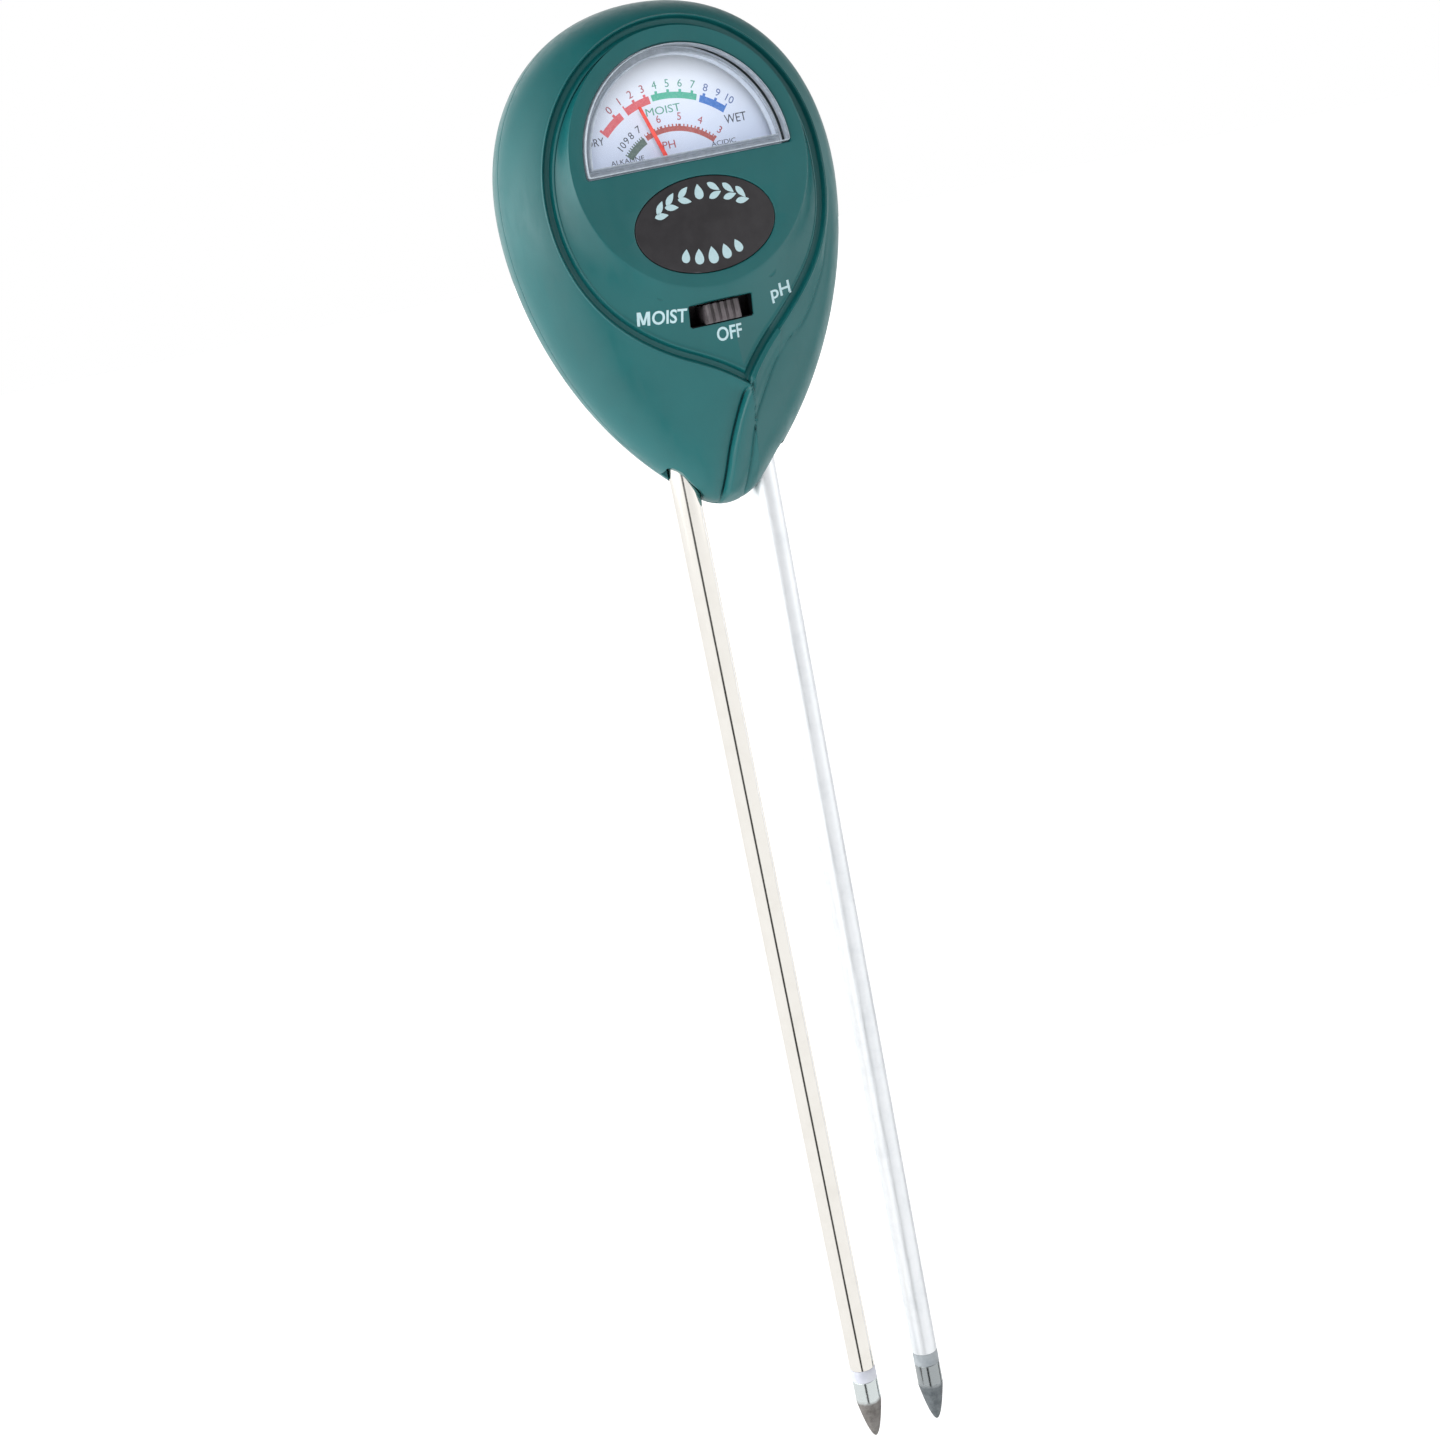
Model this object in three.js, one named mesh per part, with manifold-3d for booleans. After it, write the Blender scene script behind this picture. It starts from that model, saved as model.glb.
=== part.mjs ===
// Two-probe soil moisture and pH meter: a leaf-shaped head with a dial, on two metal probes.
// Units are millimetres. +Z is up along the probes, the dial faces -Y and +X is the dial's right.
import * as THREE from 'three';
import * as BufferGeometryUtils from 'three/addons/utils/BufferGeometryUtils.js';
import Module from 'manifold-3d';

const wasm = await Module();
wasm.setup();

// ---------------------------------------------------------------- driving dimensions

const degrees = Math.PI / 180;

const head = { halfWidth: 33.1, widestZ: 258, topZ: 293, noseZ: 200, wall: 2, partingGap: 0.1 };
// The face is the flat disc that holds the window and the badge. It leans back at the top.
const face = { tilt: 5.7 * degrees, y: -13, z: 264.5, radius: 23.1 };
const channel = { width: 1.8, wallRun: 0.45, depth: 1.1, tipAngle: 275 * degrees, tipZ: 222.4 };
const rib = { height: 0.5, root: 0.3 };
const windowCut = { radius: 20.35, bottom: -0.85 };
const windowCover = { radius: 20.2, bottom: -0.7, wall: 1.3, proud: 0.5, flange: 1.2, depth: 4.4 };
const dial = { depth: 7, thickness: 0.8, radius: 21.4, bottom: -4.8, notch: 3.8 };
const badge = { v: -12.3, halfLength: 13.85, halfHeight: 8.5, thickness: 0.9, gap: 0.1 };
const slot = { v: -28, length: 12.7, height: 3.9 };
const knob = { length: 6.9, height: 3.5, front: -1.3, ridges: 5, ridgeHeight: 0.35, flangeLength: 14.8 };
const pivot = { v: -6.2, restAngle: 17.5 * degrees };
// The probes stand `tipSpacing` apart at their tips and lean apart a little towards the head.
const probe = { radius: 2.625, bore: 1.95, tipSpacing: 14.4, top: 228, tip: 13.5, ring: 2.7 };
const probeLean = 0.29 * degrees;
const leftProbeLift = 2;
const backDepth = 16.5;

// ---------------------------------------------------------------- materials

function finish(colour, roughness, metalness) {
  return new THREE.MeshStandardMaterial({ color: colour, roughness, metalness });
}

const materials = {
  greenPlastic: finish(0x2f6f6c, 0.45, 0),
  clearPlastic: finish(0xdfe6ea, 0.08, 0),
  dialCard: finish(0xe3e8f2, 0.55, 0),
  blackPlastic: finish(0x2b2a2c, 0.4, 0),
  knobPlastic: finish(0x3b3330, 0.5, 0),
  needleRed: finish(0xe9483c, 0.5, 0),
  nickel: finish(0xd9d6cf, 0.16, 1),
  aluminium: finish(0xb9bdc4, 0.38, 1),
  tipMetal: finish(0x85888c, 0.45, 1),
  ringPlastic: finish(0xb4b6b6, 0.5, 0),
  brass: finish(0xb8974a, 0.35, 1),
  steel: finish(0xa5a7aa, 0.35, 1),
  copper: finish(0xb06a3a, 0.4, 1),
  magnet: finish(0x4b4d50, 0.5, 1),
  whitePlastic: finish(0xe6e4dc, 0.5, 0),
  board: finish(0x9a7b3c, 0.6, 0),
  resistorBody: finish(0xc9b48a, 0.55, 0),
  redWire: finish(0xb8322c, 0.5, 0),
  blackWire: finish(0x242424, 0.5, 0),
};

// ---------------------------------------------------------------- solids and booleans

function toManifold(geometry) {
  const bare = geometry.clone();
  bare.deleteAttribute('normal');
  bare.deleteAttribute('uv');
  const merged = BufferGeometryUtils.mergeVertices(bare, 1e-4);
  return new wasm.Manifold(new wasm.Mesh({
    numProp: 3,
    vertProperties: new Float32Array(merged.attributes.position.array),
    triVerts: new Uint32Array(merged.index.array),
  }));
}

function toGeometry(manifold) {
  const mesh = manifold.getMesh();
  const geometry = new THREE.BufferGeometry();
  geometry.setAttribute('position', new THREE.BufferAttribute(mesh.vertProperties, 3));
  geometry.setIndex(new THREE.BufferAttribute(mesh.triVerts, 1));
  return geometry;
}

function cut(body, ...tools) {
  return toGeometry(tools.reduce((result, tool) => result.subtract(toManifold(tool)), toManifold(body)));
}

function join(body, ...others) {
  return toGeometry(others.reduce((result, other) => result.add(toManifold(other)), toManifold(body)));
}

function common(first, second) {
  return toGeometry(toManifold(first).intersect(toManifold(second)));
}

// ---------------------------------------------------------------- simple shapes

function moved(geometry, x, y, z) {
  return geometry.clone().translate(x, y, z);
}

function box(width, height, depth, x = 0, y = 0, z = 0) {
  return new THREE.BoxGeometry(width, height, depth).translate(x, y, z);
}

// A plate with the given outline, between two heights along its own z axis.
function plate(shape, fromZ, toZ, curveSegments = 16) {
  const options = { depth: toZ - fromZ, bevelEnabled: false, curveSegments };
  return new THREE.ExtrudeGeometry(shape, options).translate(0, 0, fromZ);
}

// A round rod along z, between two heights.
function rod(radius, fromZ, toZ, x = 0, y = 0, segments = 14) {
  const cylinder = new THREE.CylinderGeometry(radius, radius, toZ - fromZ, segments);
  return cylinder.rotateX(Math.PI / 2).translate(x, y, (fromZ + toZ) / 2);
}

// A round tube along z, between two heights.
function tube(outer, inner, fromZ, toZ, segments = 24) {
  const profile = [
    new THREE.Vector2(inner, fromZ),
    new THREE.Vector2(outer, fromZ),
    new THREE.Vector2(outer, toZ),
    new THREE.Vector2(inner, toZ),
    new THREE.Vector2(inner, fromZ),
  ];
  return new THREE.LatheGeometry(profile, segments).rotateX(Math.PI / 2);
}

function rectangle(halfWidth, halfHeight) {
  const shape = new THREE.Shape();
  shape.moveTo(-halfWidth, -halfHeight);
  shape.lineTo(halfWidth, -halfHeight);
  shape.lineTo(halfWidth, halfHeight);
  shape.lineTo(-halfWidth, halfHeight);
  return shape;
}

// A half-moon: a circle cut straight across at the height `bottom`.
function halfMoon(radius, bottom) {
  const start = Math.asin(bottom / radius);
  const shape = new THREE.Shape();
  shape.absarc(0, 0, radius, start, Math.PI - start);
  return shape;
}

function ellipse(halfLength, halfHeight) {
  const shape = new THREE.Shape();
  shape.absellipse(0, 0, halfLength, halfHeight, 0, 2 * Math.PI);
  return shape;
}

// ---------------------------------------------------------------- the face's own frame
// In this frame x is to the right, y is up along the face and z points out of it.

const faceTurn = Math.PI / 2 - face.tilt;

function onFace(geometry) {
  return geometry.clone().rotateX(faceTurn).translate(0, face.y, face.z);
}

function faceSurfaceY(z) {
  return face.y + (z - face.z) * Math.tan(face.tilt);
}

// ---------------------------------------------------------------- head outlines
// Outlines are drawn in the front view, as (x, z), and read as a radius at an angle about the
// middle of the head's widest line.

function sampled(path) {
  return path.getPoints(60);
}

function headOutline() {
  const { halfWidth, widestZ, topZ, noseZ } = head;
  const half = new THREE.Path();
  half.moveTo(0, noseZ);
  half.bezierCurveTo(4.5, noseZ, 6.6, noseZ + 2.9, 9.6, noseZ + 5.6);
  half.bezierCurveTo(27.6, noseZ + 22, halfWidth, widestZ - 14, halfWidth, widestZ);
  half.bezierCurveTo(halfWidth, widestZ + 21, 20, topZ, 0, topZ);
  const right = sampled(half);
  const left = right.slice(1, -1).reverse().map((point) => new THREE.Vector2(-point.x, point.y));
  return right.concat(left);
}

// The channel is round at the top and runs down to a tip that swings to the right.
function channelOutline() {
  const tipX = (head.widestZ - channel.tipZ) * Math.tan(channel.tipAngle - 1.5 * Math.PI);
  const path = new THREE.Path();
  path.moveTo(tipX, channel.tipZ);
  path.bezierCurveTo(3.54, 223.7, 7.5, 227.9, 9.7, 229.75);
  path.bezierCurveTo(20.1, 238.6, 27.2, 245.1, 27.2, 261);
  path.bezierCurveTo(27.2, 275.6, 15.6, 289.4, 0.4, 289.4);
  path.bezierCurveTo(-15.7, 289.4, -27.9, 275.5, -27.9, 259.1);
  path.bezierCurveTo(-27.9, 245.2, -20.25, 235, -7.6, 228.9);
  path.bezierCurveTo(-1.5, 225.9, -1.1, 225.4, tipX, channel.tipZ);
  return sampled(path).slice(0, -1);
}

// The outline moved inwards by a distance. It runs counterclockwise, so inwards is to its left.
function inset(points, distance) {
  return points.map((point, i) => {
    const before = points[(i + points.length - 1) % points.length];
    const after = points[(i + 1) % points.length];
    const along = after.clone().sub(before).normalize();
    return new THREE.Vector2(point.x - along.y * distance, point.y + along.x * distance);
  });
}

// Distance from the middle of the head's widest line to the outline, at an angle.
function radiusAt(points, angle) {
  const directionX = Math.cos(angle);
  const directionZ = Math.sin(angle);
  let nearest = Infinity;
  points.forEach((start, i) => {
    const end = points[(i + 1) % points.length];
    const startX = start.x;
    const startZ = start.y - head.widestZ;
    const edgeX = end.x - start.x;
    const edgeZ = end.y - start.y;
    const cross = directionX * edgeZ - directionZ * edgeX;
    if (Math.abs(cross) < 1e-12) {
      return;
    }
    const along = (startZ * directionX - startX * directionZ) / -cross;
    const distance = (startX * edgeZ - startZ * edgeX) / cross;
    if (along >= -1e-9 && along <= 1 + 1e-9 && distance > 0) {
      nearest = Math.min(nearest, distance);
    }
  });
  return nearest;
}

const outlines = {
  head: headOutline(),
  channelOuter: channelOutline(),
  channelFloorOuter: inset(channelOutline(), channel.wallRun),
  channelFloorInner: inset(channelOutline(), channel.width - channel.wallRun),
  channelInner: inset(channelOutline(), channel.width),
};

// Every ring has one point at each of these angles. The channel's tip gets two more.
function ringAngles() {
  const step = 5 * degrees;
  const angles = Array.from({ length: 72 }, (_, i) => i * step);
  angles.push(channel.tipAngle - step / 2, channel.tipAngle + step / 2);
  return angles.sort((a, b) => a - b);
}

const angles = ringAngles();

function radiiOf(points) {
  return angles.map((angle) => radiusAt(points, angle));
}

const radii = {
  head: radiiOf(outlines.head),
  channelOuter: radiiOf(outlines.channelOuter),
  channelFloorOuter: radiiOf(outlines.channelFloorOuter),
  channelFloorInner: radiiOf(outlines.channelFloorInner),
  channelInner: radiiOf(outlines.channelInner),
};

// ---------------------------------------------------------------- head surfaces

// How far the channel's edges lie behind the plane of the face: little at the top, more below.
function channelDrop(z) {
  const v = z - face.z;
  return 3.5 - 0.05 * (v + Math.hypot(v, 8));
}

function ringPoint(i, radius, yOf) {
  const x = radius * Math.cos(angles[i]);
  const z = head.widestZ + radius * Math.sin(angles[i]);
  return new THREE.Vector3(x, yOf(z), z);
}

// A ring at one outline, with its depth given as a function of height.
function outlineRing(ringRadii, yOf) {
  return ringRadii.map((radius, i) => ringPoint(i, radius, yOf));
}

// The round dome between the parting line and the channel's outer edge.
function domeRing(share, inward, outward) {
  const bend = 60 * degrees;
  const across = (1 - Math.cos(share * bend)) / (1 - Math.cos(bend));
  const rise = Math.sin(share * bend) / Math.sin(bend);
  return radii.head.map((rim, i) => {
    const edge = radii.channelOuter[i];
    const edgeZ = head.widestZ + edge * Math.sin(angles[i]);
    const edgeY = faceSurfaceY(edgeZ) + channelDrop(edgeZ);
    const radius = rim + (edge - rim) * across - inward;
    return ringPoint(i, radius, () => edgeY * rise + outward);
  });
}

// The face disc as a ring, read at the same angles as the other rings.
function faceRing(radius, depth) {
  const offset = face.z - head.widestZ;
  return angles.map((angle, i) => {
    const sine = Math.sin(angle);
    const reach = offset * sine + Math.sqrt(radius ** 2 - (offset * Math.cos(angle)) ** 2);
    return ringPoint(i, reach, (z) => faceSurfaceY(z) + depth);
  });
}

// The skirt falls from the face disc to the channel's inner edge.
function skirtRing(share) {
  const top = faceRing(face.radius, 0);
  const drop = Math.sin(share * 90 * degrees) * 0.5 + share * 0.5;
  return top.map((point, i) => {
    const topRadius = Math.hypot(point.x, point.z - head.widestZ);
    const radius = topRadius + (radii.channelInner[i] - topRadius) * share;
    return ringPoint(i, radius, (z) => faceSurfaceY(z) + channelDrop(z) * drop);
  });
}

// Closes a list of rings into one solid, from a first pole to a last pole.
function ringSolid(firstPole, rings, lastPole) {
  const count = angles.length;
  const points = [firstPole, ...rings.flat(), lastPole];
  const last = points.length - 1;
  const at = (ring, i) => 1 + ring * count + (i % count);
  const index = [];
  for (let i = 0; i < count; i += 1) {
    index.push(0, at(0, i), at(0, i + 1));
    for (let ring = 0; ring + 1 < rings.length; ring += 1) {
      index.push(at(ring, i), at(ring + 1, i), at(ring + 1, i + 1));
      index.push(at(ring, i), at(ring + 1, i + 1), at(ring, i + 1));
    }
    index.push(last, at(rings.length - 1, i + 1), at(rings.length - 1, i));
  }
  const geometry = new THREE.BufferGeometry().setFromPoints(points);
  geometry.setIndex(index);
  return geometry;
}

const domeShares = [0.75, 0.5, 0.25, 0];

// The front of the head, from the face's middle to the parting line, raised by a height.
function frontRings(raised) {
  const surface = (z) => faceSurfaceY(z) + channelDrop(z) - raised;
  const floor = (z) => surface(z) + channel.depth;
  return [
    faceRing(face.radius, -raised),
    skirtRing(0.35).map((point) => point.setY(point.y - raised)),
    skirtRing(0.7).map((point) => point.setY(point.y - raised)),
    outlineRing(radii.channelInner, surface),
    outlineRing(radii.channelFloorInner, floor),
    outlineRing(radii.channelFloorOuter, floor),
    domeRing(1, 0, -raised),
    ...domeShares.map((share) => domeRing(share, -raised * share, -raised * share)),
  ];
}

function frontInnerRings() {
  const { wall } = head;
  return [
    domeRing(0, wall, 0),
    domeRing(0.4, wall, wall * 0.55),
    domeRing(1, wall * 0.9, wall + channel.depth * 0.5),
    faceRing(face.radius - 0.8, wall),
  ];
}

function frontBlank() {
  const front = new THREE.Vector3(0, faceSurfaceY(head.widestZ), head.widestZ);
  const back = front.clone().setY(front.y + head.wall);
  return ringSolid(front, [...frontRings(0), ...frontInnerRings()], back);
}

// A solid block with the head's front surface, used to shape the raised rib.
function frontBlock(raised) {
  const front = new THREE.Vector3(0, faceSurfaceY(head.widestZ) - raised, head.widestZ);
  return ringSolid(front, frontRings(raised), new THREE.Vector3(0, 0, head.widestZ));
}

// ---------------------------------------------------------------- raised rib
// A rib runs beside the channel's right branch, past its tip and down to the nose.

function ribOutline() {
  const shape = new THREE.Shape();
  shape.moveTo(28.2, 250.6);
  shape.bezierCurveTo(27, 244.2, 21.2, 238.9, 16, 235.1);
  shape.bezierCurveTo(11.4, 231.6, 5, 228.2, 3.2, 222.1);
  shape.bezierCurveTo(1.6, 219, -1.6, 214.2, -2.1, 206.6);
  shape.lineTo(-1.6, 199);
  shape.lineTo(3.5, 199);
  shape.bezierCurveTo(2.6, 208, 3.6, 215.4, 7.2, 223.5);
  shape.bezierCurveTo(12.4, 232.2, 27, 235, 28.2, 250.6);
  return shape;
}

function raisedRib() {
  const prism = plate(ribOutline(), -30, 0, 8).rotateX(Math.PI / 2).translate(0, -30, 0);
  const strip = common(frontBlock(rib.height), prism);
  return cut(strip, frontBlock(-rib.root));
}

// ---------------------------------------------------------------- screw places

// Four shell screws, in the front view.
const shellScrews = [[-16.3, 283.4], [16.3, 283.4], [-16.6, 232.5], [16.6, 232.5]];
const shellScrew = { radius: 1.25, headRadius: 2.4, headHeight: 1.8, headY: 3, tipY: -5.6 };
// Screws that hold the inner parts to posts on the front shell's inside, in the face's frame.
const dialPosts = [[-18.2, -3.7], [18.2, -3.7]];
const movementPosts = [[-14.5, -10.5], [14.5, -10.5]];
const boardPosts = [[-10.8, -22.4], [10.8, -22.4]];
const board = { halfWidth: 13, top: -20.4, bottom: -33.6, front: -12.3, thickness: 1.2 };
const movement = { plateFront: -9.1, plateThickness: 1.6, plateHole: 7.2 };
const smallScrew = { radius: 0.7, headRadius: 1.35, headHeight: 0.7, length: 3.4 };
const postRoot = -1.4;

function alongY(radius, fromY, toY, x, z, segments = 12) {
  const cylinder = new THREE.CylinderGeometry(radius, radius, toY - fromY, segments);
  return cylinder.translate(x, (fromY + toY) / 2, z);
}

// A post with a blind hole for a small screw, standing on the inside of the face.
function post(radius, [x, y], end) {
  const hole = smallScrew.radius + 0.08;
  const body = rod(radius, end, postRoot, x, y, 12);
  return onFace(cut(body, rod(hole, end - 1, end + smallScrew.length, x, y, 10)));
}

// ---------------------------------------------------------------- shells

// Moves a shape that stands on the z axis to a probe's own axis; side is -1 or 1.
function alongProbe(geometry, side) {
  return geometry.clone().rotateY(side * probeLean).translate((side * probe.tipSpacing) / 2, 0, 0);
}

function probeBores() {
  const clearance = 0.25;
  const bore = rod(probe.radius + clearance, head.noseZ - 15, head.noseZ + 14, 0, 0, 20);
  return [-1, 1].map((side) => alongProbe(bore, side));
}

// The front shell's mouth round each probe is a wider notch, higher on its outer side.
function probeNotches() {
  const outline = [
    [-12.7, 198], [-12.6, 208.6], [-12.2, 209.7], [-11.4, 209.4], [-10, 208.3], [-8.9, 206.9],
    [-7.4, 205.2], [-6.2, 203.9], [-5.5, 202.6], [-5.2, 200.5], [-5.2, 198],
  ];
  return [1, -1].map((side) => {
    const shape = new THREE.Shape(outline.map(([x, z]) => new THREE.Vector2(side * x, z)));
    return plate(shape, -20, 8).rotateX(Math.PI / 2).translate(0, -8, 0);
  });
}

function frontShellGeometry() {
  const dialFront = -dial.depth;
  const movementFront = dialFront + movement.plateFront;
  const screwBosses = shellScrews.map(([x, z]) => alongY(2.6, -9.4, 0, x, z, 14));
  const bossHoles = shellScrews.map(([x, z]) => {
    return alongY(shellScrew.radius + 0.08, shellScrew.tipY - 0.6, 1, x, z);
  });
  const bosses = common(screwBosses.reduce((all, boss) => join(all, boss)), frontBlock(-0.4));
  const posts = [
    ...dialPosts.map((place) => post(1.4, place, dialFront)),
    ...movementPosts.map((place) => post(2, place, movementFront)),
    ...boardPosts.map((place) => post(1.5, place, board.front)),
  ];
  const body = join(frontBlank(), bosses, raisedRib(), ...posts);
  const opening = onFace(plate(halfMoon(windowCut.radius, windowCut.bottom), -3, 3));
  const badgeShape = ellipse(badge.halfLength + badge.gap, badge.halfHeight + badge.gap);
  const badgeSeat = onFace(moved(plate(badgeShape, -badge.thickness, 3), 0, badge.v, 0));
  const slotHole = onFace(box(slot.length, slot.height, 8, 0, slot.v, -1));
  return cut(body, opening, badgeSeat, slotHole, ...bossHoles, ...probeBores(), ...probeNotches());
}

// The rear dome reaches a flat pad at the back.
function rearRing(share, inward, depth) {
  const bend = 72 * degrees;
  const padShare = 0.66;
  const across = (1 - Math.cos(share * bend)) / (1 - Math.cos(bend));
  const rise = Math.sin(share * bend) / Math.sin(bend);
  return radii.head.map((rim, i) => {
    const radius = rim * (1 + (padShare - 1) * across) - inward;
    return ringPoint(i, radius, () => head.partingGap + (backDepth - head.partingGap) * rise - depth);
  });
}

function rearShellGeometry() {
  const { wall, partingGap } = head;
  const inside = new THREE.Vector3(0, backDepth - wall, head.widestZ);
  const outside = new THREE.Vector3(0, backDepth, head.widestZ);
  const rings = [
    rearRing(1, wall * 0.4, wall),
    rearRing(0.6, wall, wall * 0.85),
    rearRing(0, wall, 0),
    ...[0, 0.25, 0.5, 0.75, 1].map((share) => rearRing(share, 0, 0)),
  ];
  const blank = ringSolid(inside, rings, outside);
  const block = ringSolid(inside.clone().setY(partingGap), rings.slice(3), outside);
  const bossRadius = 3.6;
  const columns = shellScrews.map(([x, z]) => alongY(bossRadius, partingGap, backDepth, x, z, 16));
  const bosses = common(columns.reduce((all, column) => join(all, column)), block);
  const wells = shellScrews.map(([x, z]) => {
    return alongY(shellScrew.headRadius + 0.2, shellScrew.headY, backDepth + 1, x, z, 16);
  });
  const holes = shellScrews.map(([x, z]) => {
    return alongY(shellScrew.radius + 0.2, -1, shellScrew.headY + 1, x, z);
  });
  return cut(join(blank, bosses), ...wells, ...holes, ...probeBores());
}

// ---------------------------------------------------------------- window, dial and badge

function windowGeometry() {
  const { radius, bottom, wall, proud, flange, depth } = windowCover;
  const shell = plate(halfMoon(radius, bottom), -depth, proud);
  const hollow = plate(halfMoon(radius - wall, bottom + wall), -depth - 1, proud - wall);
  const rim = plate(halfMoon(radius + flange, bottom - flange), -3.2, -2.2);
  return cut(join(shell, rim), hollow);
}

function dialPlateGeometry() {
  const blank = plate(halfMoon(dial.radius, dial.bottom), -dial.depth - dial.thickness, -dial.depth);
  const notch = rod(dial.notch, -dial.depth - 2, -dial.depth + 1, 0, pivot.v, 20);
  const holes = dialPosts.map(([x, y]) => {
    return rod(smallScrew.radius + 0.1, -dial.depth - 2, -dial.depth + 1, x, y, 10);
  });
  return cut(blank, notch, ...holes);
}

function badgeGeometry() {
  return plate(ellipse(badge.halfLength, badge.halfHeight), -badge.thickness + 0.05, 0, 18);
}

// ---------------------------------------------------------------- meter movement
// The movement's frame has its origin on the dial's front, at the pivot, with z out of the face.

const coil = { inner: 5.2, former: 0.5, wire: 0.65, front: -1.5, back: -9.85, halfDepth: 1.6 };
const core = { radius: 4.6, front: -2.5, back: -9 };
const yoke = { inner: 7, outer: 9.2, front: -2.2, back: -9 };
const bridge = { reach: 8.1, width: 1.8, thickness: 0.9, front: 4, rear: -14.2 };
const jewel = { radius: 1.1 };

function needleGeometry() {
  const { length, halfWidth, tail } = { length: 17.8, halfWidth: 0.42, tail: 5 };
  const shape = new THREE.Shape();
  shape.moveTo(-halfWidth, -tail);
  shape.lineTo(halfWidth, -tail);
  shape.lineTo(halfWidth, 0);
  shape.lineTo(halfWidth * 0.7, length);
  shape.lineTo(-halfWidth * 0.7, length);
  shape.lineTo(-halfWidth, 0);
  const blade = plate(shape, 1.6, 1.9);
  const weight = box(1.8, 1.6, 0.7, 0, -tail + 0.6, 1.75);
  const eye = rod(1.5, 1.6, 1.9);
  return cut(join(blade, weight, eye), rod(0.75, 1, 3));
}

function needleHubGeometry() {
  return cut(join(rod(1.5, 0.9, 1.55), rod(0.7, 1.5, 2.4)), rod(0.4, 0, 3, 0, 0, 12));
}

// A rectangular loop around the core, made of four bars.
function loop(inner, thickness, front, back, halfDepth) {
  const outer = inner + thickness;
  const length = front - back;
  const block = box(2 * outer, 2 * halfDepth, length, 0, 0, (front + back) / 2);
  const opening = box(2 * inner, 4 * halfDepth, length - 2 * thickness, 0, 0, (front + back) / 2);
  return cut(block, opening);
}

function hairspringGeometry(z) {
  const turns = 2.5;
  const [start, end, halfThickness, width] = [0.6, 2.9, 0.07, 0.5];
  const steps = 36;
  const edge = (side) => Array.from({ length: steps + 1 }, (_, i) => {
    const radius = start + ((end - start) * i) / steps + side * halfThickness;
    const angle = (2 * Math.PI * turns * i) / steps;
    return new THREE.Vector2(radius * Math.cos(angle), radius * Math.sin(angle));
  });
  const shape = new THREE.Shape([...edge(1), ...edge(-1).reverse()]);
  return plate(shape, z - width / 2, z + width / 2);
}

// A strap over the coil, standing on two legs, that holds one jewel.
function bridgeGeometry(topZ, footZ) {
  const direction = Math.sign(topZ - footZ);
  const { reach, width, thickness } = bridge;
  const strapZ = topZ - (direction * thickness) / 2;
  const strap = box(2 * reach + width, width, thickness, 0, 0, strapZ);
  const legs = [-1, 1].map((side) => {
    return box(width, width, Math.abs(topZ - footZ), side * reach, 0, (topZ + footZ) / 2);
  });
  const boss = rod(2, strapZ - thickness / 2, strapZ + thickness / 2);
  return cut(join(strap, boss, ...legs), rod(jewel.radius + 0.05, strapZ - 2, strapZ + 2));
}

function movementPlateGeometry() {
  const { plateFront, plateThickness, plateHole } = movement;
  const shape = new THREE.Shape();
  shape.moveTo(-17.4, -7);
  shape.lineTo(17.4, -7);
  shape.lineTo(17.4, -1.6);
  shape.lineTo(9.8, 4);
  shape.absarc(0, 0, 10.6, Math.atan2(4, 9.8), Math.PI - Math.atan2(4, 9.8));
  shape.lineTo(-9.8, 4);
  shape.lineTo(-17.4, -1.6);
  const disc = rod(10.6, plateFront - plateThickness, plateFront, 0, 0, 40);
  const ears = plate(shape, plateFront - plateThickness, plateFront);
  const holes = movementPosts.map(([x, y]) => {
    return rod(smallScrew.radius + 0.1, plateFront - 4, plateFront + 1, x, y - pivot.v, 10);
  });
  return cut(join(disc, ears), rod(plateHole, plateFront - 4, plateFront + 1, 0, 0, 36), ...holes);
}

// ---------------------------------------------------------------- slide switch
// The switch's frame has its origin on the plane of the face, at the middle of the slot.

const can = { halfLength: 8, halfHeight: 3.5, front: -6.4, back: -10.8, sheet: 0.5 };
const terminalXs = [-4, 0, 4];

function knobGeometry() {
  const cap = box(knob.length, knob.height, 5 + knob.front, 0, 0, (knob.front - 5) / 2);
  const flange = box(knob.flangeLength, 4.2, 0.5, 0, 0, -6.05);
  const neck = box(knob.length, 3, 1.1, 0, 0, -5.3);
  const stem = box(2.6, 1.8, 1.7, 0, 0, -6.95);
  const pitch = knob.length / knob.ridges;
  const ridges = Array.from({ length: knob.ridges }, (_, i) => {
    const x = (i - (knob.ridges - 1) / 2) * pitch;
    const height = knob.ridgeHeight + 0.2;
    return box(pitch * 0.5, knob.height, height, x, 0, knob.front + knob.ridgeHeight - height / 2);
  });
  return join(cap, flange, neck, stem, ...ridges);
}

function canGeometry() {
  const { halfLength, halfHeight, front, back, sheet } = can;
  const block = box(2 * halfLength, 2 * halfHeight, front - back, 0, 0, (front + back) / 2);
  const inside = box(2 * (halfLength - sheet), 2 * (halfHeight - sheet), front - back, 0, 0,
    (front + back) / 2 - sheet);
  const stemWay = box(10.2, 2.6, 4, 0, 0, front);
  return cut(block, inside, stemWay);
}

function wiperGeometry() {
  const bar = box(5.6, 3.4, 0.8, 0, 0, -8.2);
  const feet = [-1, 1].map((side) => box(0.8, 3.4, 1.6, side * 2.2, 0, -9.1));
  return join(bar, ...feet);
}

function switchBaseGeometry() {
  const block = box(16, 7, 1, 0, 0, can.back - 0.5);
  const holes = terminalXs.map((x) => rod(0.5, can.back - 2, can.back + 1, x, 0, 10));
  return cut(block, ...holes);
}

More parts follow.
